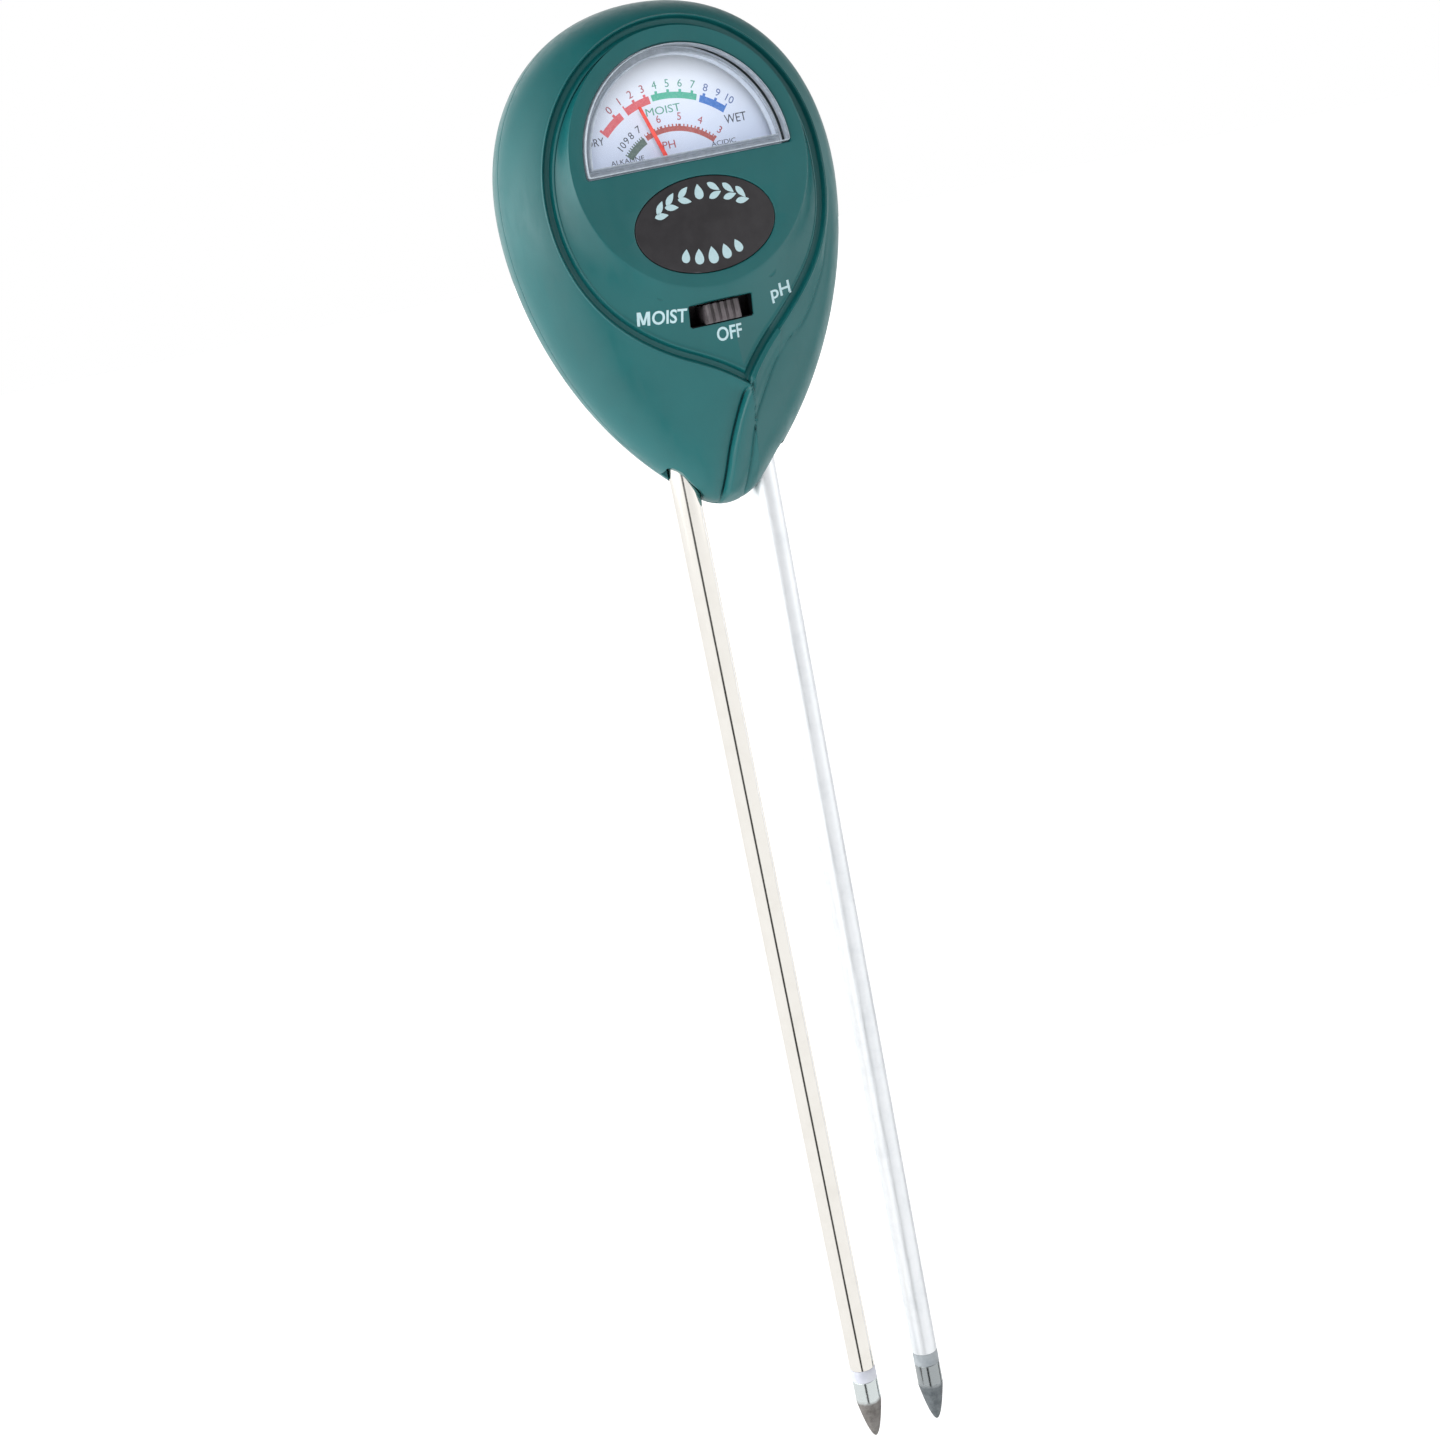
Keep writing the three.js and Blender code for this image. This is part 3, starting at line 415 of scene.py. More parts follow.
def front_rings():
    rings = [ring(columns, disc_radius(columns, r), lambda x, z: face_y(z)) for r in (9, 14, 19, 22, 22.8)]
    shares = [0, 0.01, 0.02, 0.035, 0.055, 0.08, 0.11, 0.15, 0.2, 0.26, 0.33, 0.4, 0.48, 0.56, 0.64, 0.72, 0.8, 0.88, 0.95]
    for share in shares + [1.0]:
        theta = warped(0, smoothstep(0.0, 1.0, share))
        top, edge = disc_radius(theta), channel_radius(theta, SKIRT_END)
        radius = top + (edge - top) * share
        rings.append(ring(theta, radius, lambda x, z: face_y(z) + channel_drop(z) * skirt_share_drop(share)))
    theta = warped(0)
    for inset, depth in CHANNEL_PROFILE:
        rings.append(ring(theta, channel_radius(theta, inset), lambda x, z: face_y(z) + channel_drop(z) + depth))
    first_dome = len(rings)
    outer_bend = np.linspace(0.76, 0.02, 34)  # shares of the dome's bend, from where the rib's valley ends
    shares = [*np.arange(0.0, 0.2, 0.02), *np.arange(0.2, 0.375, 0.008)]
    shares += list(1 - (1 - np.cos(outer_bend * DOME_BEND)) / (1 - math.cos(DOME_BEND)))
    for t in shares:
        theta = warped(t)
        rim, edge = rim_radius(theta), channel_radius(theta, 0)
        radius = np.maximum(edge + (rim - edge) * t, edge + 0.4 * (1 - t))
        across = (rim - radius) / (rim - edge)
        bent = np.arccos(np.clip(1 - across * (1 - math.cos(DOME_BEND)), -1, 1))
        edge_z = HEAD_Z + edge * np.sin(np.radians(theta))
        depth = (face_y(edge_z) + channel_drop(edge_z)) * np.sin(bent) / math.sin(DOME_BEND)
        rings.append(ring(theta, radius, lambda x, z: depth))
    return rings, first_dome, shares


def rib_relief(rings, first_dome, shares):
    """Raises the rib beside the channel and sinks the crease and the valley along it."""
    grid = np.stack(rings)
    along = np.roll(grid, -1, 1) - np.roll(grid, 1, 1)
    across = np.gradient(grid, axis=0)
    normal = np.cross(across, along)
    normal /= np.maximum(np.linalg.norm(normal, axis=2), 1e-9)[..., None]
    normal *= np.where(normal[..., 1:2] > 0, -1, 1)
    crease, valley = smooth_path(edge_points(CREASE)), smooth_path(edge_points(VALLEY))
    left, right = columns < CREASE_COLUMN, columns > VALLEY_COLUMN
    near = (columns > RIB_FROM - 10) & (columns < RIB_TO)
    for k in range(first_dome - 3, len(rings)):
        share = shares[k - first_dome] if k >= first_dome else 0.0
        x, z = grid[k][:, 0], grid[k][:, 2]
        to_crease = np.where(near, distance_to(crease, x, z), 99)
        to_valley = np.where(near, distance_to(valley, x, z), 99)
        dip = 0.75 * smoothstep(0.0, 0.12, share)
        sink = 0.4 * smoothstep(0.02, 0.2, share)
        fade = 1 - smoothstep(0.86, 1.0, share)
        raised = 0.55 * smoothstep(0.15, 1.2, to_crease) * (1 - np.exp(-((to_valley / 2.0) ** 2)))
        rib = raised * fade - dip * (1 - smoothstep(0.1, 0.7, to_crease)) - sink * np.exp(-to_valley / 1.2)
        height = np.where(left, -dip * np.exp(-to_crease / 2.3), rib)
        height = np.where(right, -sink * np.exp(-to_valley / 2.4), height)
        height -= 0.24 * smoothstep(0.03, 0.15, share) * np.exp(-((to_crease / 0.2) ** 2))
        height -= 0.16 * smoothstep(0.1, 0.3, share) * np.exp(-((to_valley / 0.3) ** 2))
        height *= 1 - 0.7 * smoothstep(0.9, 1.0, share)
        grid[k] += normal[k] * height[:, None]
    return list(grid)


def front_inner_rings():
    rings = []
    for share in (0, 0.1, 0.2, 0.3, 0.4, 0.55, 0.7, 0.85, 1):
        inward = np.interp(share, [0, 0.4, 1], [WALL, WALL, 1.8])
        outward = np.interp(share, [0, 0.4, 1], [0, 1.1, 2.4])
        rings.append(dome_point(warped(1, max(0.0, 0.6 - share)), share, inward, outward))
    for radius in (22.3, 14, 9):
        rings.append(ring(columns, disc_radius(columns, radius), lambda x, z: face_y(z) + WALL))
    return rings


def rounded_cutter(name, outline, depth, radius=0.3):
    """Cuts a hole with a rounded edge. outline(grow, n) gives the ring in face coordinates at a height n."""
    rings = [outline(0.0, -depth)]
    for a in np.radians(np.linspace(0, 90, 6)):
        rings.append(outline(radius * (1 - math.cos(a)), -radius + radius * math.sin(a)))
    rings.append(outline(radius + 0.02, 3.0))
    return add_mesh(name, *loft(rings, "flat", "flat"))


def half_moon(radius, bottom, corner, steps=(10, 120, 40)):
    """A circle cut straight across at `bottom`, with rounded corners, counterclockwise."""
    cx = math.sqrt((radius - corner) ** 2 - (bottom + corner) ** 2)
    lean = math.atan2(bottom + corner, cx)
    corner_steps, arc_steps, line_steps = steps
    a = np.linspace(-math.pi / 2, lean, corner_steps, endpoint=False)
    right = np.stack([cx + corner * np.cos(a), bottom + corner + corner * np.sin(a)], 1)
    a = np.linspace(lean, math.pi - lean, arc_steps)
    top = np.stack([radius * np.cos(a), radius * np.sin(a)], 1)
    left = right[::-1] * (-1, 1)
    across = np.linspace(-cx, cx, line_steps + 1)[1:-1]
    return np.concatenate([right, top, left, np.stack([across, np.full(len(across), bottom)], 1)])


def ellipse(half_length, half_height, count=160):
    a = np.arange(count) * 2 * math.pi / count
    return np.stack([half_length * np.cos(a), half_height * np.sin(a)], 1)


def round_box(half_length, half_height, corner, steps=6):
    points = []
    for sx, sy, start in ((1, -1, -90), (1, 1, 0), (-1, 1, 90), (-1, -1, 180)):
        for a in np.radians(np.linspace(start, start + 90, steps)):
            points.append((sx * (half_length - corner) + corner * math.cos(a),
                           sy * (half_height - corner) + corner * math.sin(a)))
    return np.array(points)


def on_face(points, n, v=0.0):
    return face_xyz(points[:, 0], points[:, 1] + v, n)


def rod(name, start, end, radius, count=24):
    """A round rod between two points."""
    start, end = Vector(start), Vector(end)
    obj = add_mesh(name, *loft([circle(radius, count, 0), circle(radius, count, (end - start).length)], "flat", "flat"))
    turn = (end - start).to_track_quat("Z", "Y").to_matrix().to_4x4()
    return place(obj, Matrix.Translation(start) @ turn)


def face_rod(name, x, v, n0, n1, radius, count=24):
    ends = [tuple(face_xyz(np.float64(x), np.float64(v), np.float64(n))) for n in (n0, n1)]
    return rod(name, ends[0], ends[1], radius, count)


def probe_axis(side):
    """The probe's own axis: its origin is the tip, and it leans outwards towards the head."""
    foot = Matrix.Translation((side * PROBE_SPACING / 2, 0, 0))
    return foot @ Matrix.Rotation(side * PROBE_LEAN, 4, "Y")


def probe_bores():
    profile = [(0, 185), (2.875, 185), (2.875, 214), (0, 214)]
    return [place(turned("bore", profile, 96), probe_axis(side)) for side in (-1, 1)]


# The front shell's mouth round a probe, (distance from the middle, height).
NOTCH = [(12.7, 198), (12.6, 208.6), (12.4, 209.5), (11.9, 209.6), (11.3, 209.3), (10, 208.3), (8.9, 206.9),
         (8.1, 205.8), (7.05, 204.6), (6.3, 203.8), (5.6, 202.8), (5.25, 201.4), (5.2, 198)]


def probe_notches():
    notches = []
    for side in (-1, 1):
        edge = np.array([(side * x, z) for x, z in NOTCH])
        rings = [np.stack([edge[:, 0], np.full(len(edge), y), edge[:, 1]], 1) for y in (-16.0, 2.0)]
        notches.append(add_mesh("notch", *loft(rings, "flat", "flat")))
    return notches


DIAL_POSTS = [(-18.2, -3.7), (18.2, -3.7)]
MOVEMENT_POSTS = [(-14.5, -10.5), (14.5, -10.5)]
BOARD_POSTS = [(-10.8, -22.4), (10.8, -22.4)]


def build_front_shell():
    rings, first_dome, shares = front_rings()
    rings = rib_relief(rings, first_dome, shares)
    theta = warped(1)
    rim = rim_radius(theta)
    edge = [ring(theta, rim - 0.04, lambda x, z: 0 * x - 0.1), ring(theta, rim - 0.16, lambda x, z: 0 * x)]
    front = (0, face_y(HEAD_Z), HEAD_Z)
    back = (0, face_y(HEAD_Z) + WALL, HEAD_Z)
    shell = add_mesh("front_housing", *loft(rings + edge + front_inner_rings(), front, back))

    block = add_mesh("block", *loft(rings + edge, front, (0, 0, HEAD_Z)))
    for vertex in block.data.vertices:
        vertex.co.y += 0.5 * MM
    bosses = []
    for x, z in SHELL_SCREWS:
        boss = rod("boss", (x, -14, z), (x, 0, z), 2.6, 32)
        copy = block.copy()
        copy.data = block.data.copy()
        scene.collection.objects.link(copy)
        bosses.append(combine(boss, [copy], "INTERSECT"))
    bpy.data.objects.remove(block)
    posts = [face_rod("post", x, v, DIAL_N, -1.4, 1.4) for x, v in DIAL_POSTS]
    posts += [face_rod("post", x, v, -16.1, -1.4, 2) for x, v in MOVEMENT_POSTS]
    posts += [face_rod("post", x, v, -12.3, -1.4, 1.5) for x, v in BOARD_POSTS]
    combine(shell, bosses + posts, "UNION")

    def window(grow, n):
        return on_face(half_moon(20.35 + grow, -0.85 - grow, 0.5 + grow), n)

    def badge(grow, n):
        return on_face(ellipse(BADGE_HALF + 0.1 + grow, BADGE_HEIGHT + 0.1 + grow), n, BADGE_V)

    def slot(grow, n):
        outline = round_box(SLOT_LENGTH / 2 + grow, SLOT_HEIGHT / 2 + grow, 0.25 + grow)
        if n <= -3:
            return on_face(outline, n, SLOT_V)
        flat = on_face(outline, 0.0, SLOT_V)
        flat[:, 1] = front_y(flat[:, 0], flat[:, 2]) - n
        return flat

    cutters = [rounded_cutter("cut", window, 4, 0.3), rounded_cutter("cut", slot, 8, 0.25)]
    seat = [badge(0, -0.9)] + [badge(0.22 * (1 - math.cos(a)), -0.22 * (1 - math.sin(a))) for a in np.radians(np.linspace(0, 90, 6))]
    cutters.append(add_mesh("cut", *loft(seat + [badge(0.24, 3.0)], "flat", "flat")))
    cutters += probe_bores() + probe_notches()
    cutters += [rod("cut", (x, -6.2, z), (x, 1, z), 1.33, 32) for x, z in SHELL_SCREWS]
    for places, end in ((DIAL_POSTS, DIAL_N), (MOVEMENT_POSTS, -16.1), (BOARD_POSTS, -12.3)):
        cutters += [face_rod("cut", x, v, end - 1, end + 3.4, 0.78) for x, v in places]
    combine(shell, cutters, "DIFFERENCE")
    return soften(shell, 32)


# ---------------------------------------------------------------- rear shell


def build_rear_shell():
    theta = np.arange(0, 360, 1.0)
    rim = rim_radius(theta)
    bend, pad = math.radians(72), 0.66

    def rear(share, inward, depth):
        across = (1 - math.cos(share * bend)) / (1 - math.cos(bend))
        rise = math.sin(share * bend) / math.sin(bend)
        radius = rim * (1 + (pad - 1) * across) - inward
        y = PARTING_GAP + (BACK_DEPTH - PARTING_GAP) * rise - depth
        return ring(theta, radius, lambda x, z: y + 0 * x)

    inside = (0, BACK_DEPTH - WALL, HEAD_Z)
    inner = [rear(s, WALL * np.interp(s, [0, 0.6, 1], [1, 1, 0.4]), WALL * np.interp(s, [0, 0.6, 1], [0, 0.85, 1]))
             for s in (1, 0.85, 0.7, 0.6, 0.45, 0.3, 0.15, 0)]
    outer = [ring(theta, rim - 0.16, lambda x, z: PARTING_GAP + 0 * x), ring(theta, rim - 0.04, lambda x, z: PARTING_GAP + 0.1 + 0 * x)]
    outer += [rear(s, 0, 0) for s in np.linspace(0.02, 0.97, 44)]
    # The dome's edge rounds over into the flat back.
    last = rear(1, 0, 0)
    for share, depth in ((0.995, 0.1), (0.975, 0.03), (0.94, 0)):
        radius = rim * pad * share
        outer.append(ring(theta, radius, lambda x, z: BACK_DEPTH - depth + 0 * x))
    outer += [ring(theta, rim * pad * share, lambda x, z: BACK_DEPTH + 0 * x) for share in (0.7, 0.4)]
    shell = add_mesh("rear_housing", *loft(inner + outer, inside, (0, BACK_DEPTH, HEAD_Z)))
    columns_ = []
    for x, z in SHELL_SCREWS:
        column = rod("boss", (x, PARTING_GAP, z), (x, 20, z), 3.6, 40)
        block = add_mesh("block", *loft([ring(theta, rim - 0.3, lambda x, z: -1 + 0 * x)] + [
            p - (0, 0.4, 0) for p in outer[2:]], "flat", (0, BACK_DEPTH - 0.4, HEAD_Z)))
        columns_.append(combine(column, [block], "INTERSECT"))
    combine(shell, columns_, "UNION")
    cutters = probe_bores()
    for x, z in SHELL_SCREWS:
        well = [(0, 3), (2.6, 3), (2.6, 30), (0, 30)]
        turn = Matrix.Translation((x, 0, z)) @ Matrix.Rotation(-math.pi / 2, 4, "X")
        cutters.append(place(turned("cut", well, 48), turn))
        cutters.append(rod("cut", (x, -1, z), (x, 4, z), 1.45, 32))
    combine(shell, cutters, "DIFFERENCE")
    return soften(shell, 32)


# ---------------------------------------------------------------- window, dial and printing


def build_window():
    """A clear half-moon cover with a flange that sits behind the front shell."""
    radius, bottom, wall = WINDOW_RADIUS, WINDOW_BOTTOM, 1.3

    def outline(inset, n, corner=0.5):
        return on_face(half_moon(radius - inset, bottom + inset, max(corner - inset, 0.08)), n)

    rings = [outline(4, 0.5, 4.2)]
    rings += [outline(0.35 * (1 - math.sin(a)), 0.15 + 0.35 * math.cos(a)) for a in np.radians(np.linspace(0, 90, 7))]
    rings += [outline(0, -2.2), outline(-1.2, -2.2, 0.5), outline(-1.2, -3.2, 0.5), outline(0, -3.2), outline(0, -4.4)]
    rings += [outline(wall, -4.4), outline(wall, -1.3)]
    rings += [outline(wall + 0.5 * (1 - math.cos(a)), -1.3 + 0.5 * math.sin(a))
              for a in np.radians((22, 45, 67, 90))]
    start, end = (tuple(face_xyz(np.float64(0), np.float64(8.5), np.float64(n))) for n in (0.5, -0.8))
    return soften(add_mesh("window_cover", *loft(rings, start, end)), 40)


def build_dial_plate():
    outline = half_moon(21.4, -4.8, 0.8)
    rings = [on_face(outline, DIAL_N - 0.8), on_face(outline, DIAL_N)]
    plate = add_mesh("dial_card", *loft(rings, "flat", "flat"))
    cutters = [face_rod("cut", 0, PIVOT_V, DIAL_N - 2, DIAL_N + 1, 3.8, 96)]
    cutters += [face_rod("cut", x, v, DIAL_N - 2, DIAL_N + 1, 0.8, 32) for x, v in DIAL_POSTS]
    combine(plate, cutters, "DIFFERENCE")
    return soften(plate, 30)


PRINT = 0.03  # thickness of the printing


def printed(name, outlines, n=DIAL_N):
    """Thin closed slabs on a plane of the face; each outline is a list of (x, v)."""
    points, faces = [], []
    for outline in outlines:
        p, f = loft([on_face(np.asarray(outline), n), on_face(np.asarray(outline), n + PRINT)], "flat", "flat")
        faces += [[i + len(points) for i in face] for face in f]
        points += p.tolist()
    return add_mesh(name, points, faces)


def around_pivot(radius, degrees_from_top):
    a = math.radians(degrees_from_top)
    return (radius * math.sin(a), PIVOT_V + radius * math.cos(a))


def scale_band(outer, inner, start, end, ticks=(), tick_height=0.5, tick_width=0.5):
    """A band of the scale, clockwise angles from the top, with ticks standing on its outer edge."""
    outline = [around_pivot(inner, a) for a in np.linspace(end, start, 24)]
    marks = [start, end]
    for tick in ticks:
        marks += [tick - math.degrees(tick_width / 2 / outer), tick + math.degrees(tick_width / 2 / outer)]
    height = outer
    edge = [(start, outer)]
    steps = []
    for tick in sorted(ticks):
        half = math.degrees(tick_width / 2 / outer)
        low, high = max(start, tick - half), min(end, tick + half)
        steps += [(low, outer), (low, outer + tick_height), (high, outer + tick_height), (high, outer)]
    previous = start
    for a, r in steps + [(end, outer)]:
        if r == height == outer and a > previous + 0.5:
            edge += [(b, outer) for b in np.arange(previous + 0.5, a, 0.7)]
        edge.append((a, r))
        previous, height = a, r
    cleaned = [edge[0]]
    for item in edge[1:]:
        if abs(item[0] - cleaned[-1][0]) > 1e-6 or abs(item[1] - cleaned[-1][1]) > 1e-6:
            cleaned.append(item)
    return outline + [around_pivot(r, a) for a, r in cleaned]


BLOCK_M = [(0, 0), (0.22, 0), (0.22, 0.64), (0.4, 0.08), (0.6, 0.08), (0.78, 0.64), (0.78, 0), (1, 0), (1, 1),
           (0.72, 1), (0.5, 0.36), (0.28, 1), (0, 1)]


def text_slab(text, bold):
    """A word as a thin slab. A bold M is drawn from its outline, because its strokes would run together."""
    if text == "M":
        shape = bpy.data.meshes.new("letter")
        points, faces = loft([[(x, y, z) for x, y in BLOCK_M] for z in (-0.05, 0.05)], "flat", "flat")
        shape.from_pydata(points.tolist(), [], faces)
        return shape
    curve = bpy.data.curves.new("text", "FONT")
    curve.body, curve.align_x, curve.align_y, curve.size = text, "LEFT", "BOTTOM", 1.0
    curve.offset, curve.extrude, curve.resolution_u = bold, 0.05, 4
    obj = bpy.data.objects.new("text", curve)
    scene.collection.objects.link(obj)
    bpy.context.view_layer.update()
    graph = bpy.context.evaluated_depsgraph_get()
    shape = bpy.data.meshes.new_from_object(obj.evaluated_get(graph), depsgraph=graph)
    bpy.data.objects.remove(obj)
    return shape


def lettering(name, items, n=DIAL_N, follow=None):
    """Printed words and numbers: (text, x, v, height, width or None, clockwise turn, boldness)."""
    mesh = bmesh.new()
    for text, x, v, height, width, turn, bold in items:
        shape = text_slab(text, bold)
        co = np.array([p.co for p in shape.vertices], float)
        low, high = co.min(0), co.max(0)
        scale = height / (high[1] - low[1])
        stretch = width / (high[0] - low[0]) if width else scale
        local = (co[:, :2] - (low + high)[:2] / 2) * (stretch, scale)
        up = np.where(co[:, 2] > 0, PRINT, 0.0)
        a = math.radians(turn)
        flat = np.stack([local[:, 0] * math.cos(a) + local[:, 1] * math.sin(a) + x,
                         -local[:, 0] * math.sin(a) + local[:, 1] * math.cos(a) + v], 1)
        for vertex, (px, pv), pn in zip(shape.vertices, flat, up):
            vertex.co = (px, pv, pn)
        part = bmesh.new()
        part.from_mesh(shape)
        bmesh.ops.remove_doubles(part, verts=part.verts, dist=1e-5)
        if follow:
            bmesh.ops.triangulate(part, faces=part.faces)
            low, high = flat.min(0), flat.max(0)
            for axis in (0, 1):
                normal = (1, 0, 0) if axis == 0 else (0, 1, 0)
                for cut in np.arange(low[axis] + 0.35, high[axis], 0.35):
                    bmesh.ops.bisect_plane(part, geom=part.verts[:] + part.edges[:] + part.faces[:],
                                           plane_co=tuple(cut * np.array(normal)), plane_no=normal)
        part.to_mesh(shape)
        part.free()
        mesh.from_mesh(shape)
        bpy.data.meshes.remove(shape)
    mesh.verts.index_update()
    points = np.array([v.co for v in mesh.verts], float)
    faces = [[v.index for v in f.verts] for f in mesh.faces]
    mesh.free()
    world = face_xyz(points[:, 0], points[:, 1], n + points[:, 2])
    if follow:
        flat = face_xyz(points[:, 0], points[:, 1], 0.0)
        world = flat.copy()
        world[:, 1] = follow(flat[:, 0], flat[:, 2]) - points[:, 2] - 0.005
    return add_mesh(name, world, faces)


MOISTURE_OUTER, MOISTURE_NUMBERS = 18.9, 20.5
PH_OUTER, PH_NUMBERS = 12.75, 14.5


def moisture_number(value):
    return -31 + 7.15 * value


def build_printing():
    """The scales, numbers and words of the dial, each colour as one piece."""
    number = lambda text, angle, radius, height, bold=0.0: (
        text, *around_pivot(radius, angle), height, None, angle, bold)
    dry = [moisture_number(v) for v in range(4)]
    moist = [moisture_number(v) for v in range(4, 8)]
    wet = [moisture_number(v) for v in range(8, 11)]
    pieces = {}
    pieces["dry_band"] = printed("dry_band", [
        scale_band(18.9, 17.5, -43.0, -27.2, [-42.4] + dry[:1]), scale_band(18.9, 17.5, -23.9, -7.3, dry[1:])])
    pieces["moist_band"] = printed("moist_band", [scale_band(18.9, 17.75, -5.8, 22, moist)])
    pieces["wet_band"] = printed("wet_band", [scale_band(18.9, 17.6, 24, 40.5, wet)])
    pieces["alkaline_band"] = printed("alkaline_band", [
        scale_band(12.75, 11.45, -45.5, -24.0, np.arange(-45, -24, 2.2), 0.4, 0.22)])
    pieces["acid_band"] = printed("acid_band", [
        scale_band(12.75, 11.85, -22, 43.8, list(np.arange(-22, 44, 3.3)), 0.4, 0.26),
        *[scale_band(13.1, 12.7, a - 1.1, a + 1.1) for a in (-6, 10.5, 27, 43.0)]])
    pieces["red_numbers"] = lettering("red_numbers", [
        *[number(str(v), a, MOISTURE_NUMBERS, 1.4) for v, a in zip(range(4), dry)],
        *[number(t, a, PH_NUMBERS, 1.35) for t, a in (("6", -6), ("5", 10.5), ("4", 27), ("3", 43.5))],
        ("PH", -0.55, 3.4, 1.4, 2.5, 0, 0.0)])
    pieces["green_numbers"] = lettering("green_numbers", [
        *[number(str(v), a, MOISTURE_NUMBERS, 1.4) for v, a in zip(range(4, 8), moist)],
        ("MOIST", -0.15, 9.7, 1.4, 6.9, 0, 0.0)])
    pieces["blue_numbers"] = lettering("blue_numbers", [
        number(str(v), a, MOISTURE_NUMBERS, 1.4) for v, a in zip(range(8, 11), wet)])
    pieces["grey_words"] = lettering("grey_words", [
        *[number(t, a, PH_NUMBERS, 1.3) for t, a in (("10", -41.5), ("9", -36), ("8", -31), ("7", -23.6))],
        ("DRY", -14.5, 6.2, 1.35, 3.4, 0, 0.0), ("WET", 13.6, 5.9, 1.6, 4.4, 0, 0.0),
        ("ALKALINE", -9.2, 2.0, 0.85, 6.6, 0, 0.0), ("ACIDIC", 10.2, 2.0, 0.85, 5.0, 0, 0.0)])
    return pieces


def build_face_labels():
    return lettering("switch_labels", [
        ("M", -14.83, -26.6, 2.5, 2.4, 6.5, 0),
        ("OIST", -10.05, -27.15, 2.5, 6.5, 6.5, 0.018),
        ("OFF", 0.85, -32.25, 2.6, 5.0, 0, 0.018),
        ("pH", 12.9, -27.15, 3.2, 4.5, -6.5, 0.016)], follow=front_y)


# ---------------------------------------------------------------- badge


def build_badge():
    levels = [(0, -0.85), (0, -0.2)] + [(0.2 * (1 - math.sin(a)), -0.2 + 0.2 * math.cos(a)) for a in np.radians((67, 45, 22, 0))]
    rings = [on_face(ellipse(BADGE_HALF - d, BADGE_HEIGHT - d), n, BADGE_V) for d, n in levels]
    return soften(add_mesh("badge", *loft(rings, "flat", "flat")), 30)


def leaf(x, v, length, width, turn):
    """A pointed leaf, its stem end at one side."""
    t = np.linspace(0, 1, 15)
    half = width / 2 * np.sin(math.pi * t**0.8) ** 0.9
    side = np.stack([t * length - length / 2, half], 1)
    outline = np.concatenate([side, side[-2:0:-1] * (1, -1)])
    a = math.radians(turn)
    c, s = math.cos(a), math.sin(a)
    return outline @ np.array([[c, s], [-s, c]]) + (x, v)


def droplet(x, v, size, turn=0.0):
    t = np.arange(40) * 2 * math.pi / 40
    outline = np.stack([0.5 * np.cos(t) * np.cos(t / 2 - math.pi / 4) ** 0 * (1 - np.sin(t)) ** 0.5 * 0.72, -0.62 * np.sin(-t)], 1)
    a = math.radians(turn)
    c, s = math.cos(a), math.sin(a)
    return (outline * size) @ np.array([[c, s], [-s, c]]) + (x, v)


def build_badge_ornament():
    """A spray of leaves over a row of water drops, following the badge's rim."""
    outlines = []
    for k in range(-3, 4):
        a = math.radians(90 - k * 17)
        x, v = 11.2 * math.cos(a) * 0.93, BADGE_V + 5.9 * math.sin(a) * 0.98
        if k == 0:
            outlines.append(droplet(x, v + 0.1, 2.2))
            continue
        slope = -k * 9.5
        outlines.append(leaf(x, v + 0.75, 2.7, 1.15, slope + 28 * (1 if k < 0 else -1)))
        outlines.append(leaf(x, v - 0.75, 2.7, 1.15, slope - 28 * (1 if k < 0 else -1)))
    for k in range(-2, 3):
        a = math.radians(-90 + k * 15)
        x, v = 11.0 * math.cos(a) * 0.95, BADGE_V + 5.6 * math.sin(a)
        outlines.append(droplet(x, v, 2.5 - 0.25 * abs(k), k * 9))
    return printed("badge_ornament", outlines, 0.0)


# ---------------------------------------------------------------- switch knob


def build_knob():
    """A ridged cap on a flange, with a stem that carries the wiper."""
    half, base = 3.45, -1.35
    pitch = 2 * half / 5
    top = []
    for i in range(5):
        middle = (i - 2) * pitch
        for t in np.linspace(-1, 1, 9):
            rise = 0.4 * (max(0.0, 1 - abs(t / 0.62) ** 3)) ** 0.6 if abs(t) < 0.62 else 0.0
            top.append((middle + t * pitch / 2 * 0.999, base + rise))
    profile = [(-half, -5.0), (-half, base - 0.1), *top, (half, base - 0.1), (half, -5.0)]
    rings = []
    for v, inset in ((-1.75, 0.12), (-1.68, 0.03), (-1.6, 0.0), (1.6, 0.0), (1.68, 0.03), (1.75, 0.12)):
        pts = np.array([(x * (1 - inset / 4), n - (inset if n > -4 else 0)) for x, n in profile])
        rings.append(face_xyz(pts[:, 0], np.full(len(pts), SLOT_V + v), pts[:, 1]))
    cap = add_mesh("slider_knob", *loft(rings, "flat", "flat"))

    def block(length, height, n0, n1, corner=0.2):
        outline = round_box(length / 2, height / 2, corner)
        return add_mesh("block", *loft([on_face(outline, n0, SLOT_V), on_face(outline, n1, SLOT_V)], "flat", "flat"))

    combine(cap, [block(2 * half, 3, -5.85, -4.9), block(14.8, 4.2, -6.3, -5.8, 0.3), block(2.6, 1.8, -7.8, -6.1, 0.15)], "UNION")
    return soften(cap, 40)


# ---------------------------------------------------------------- needle


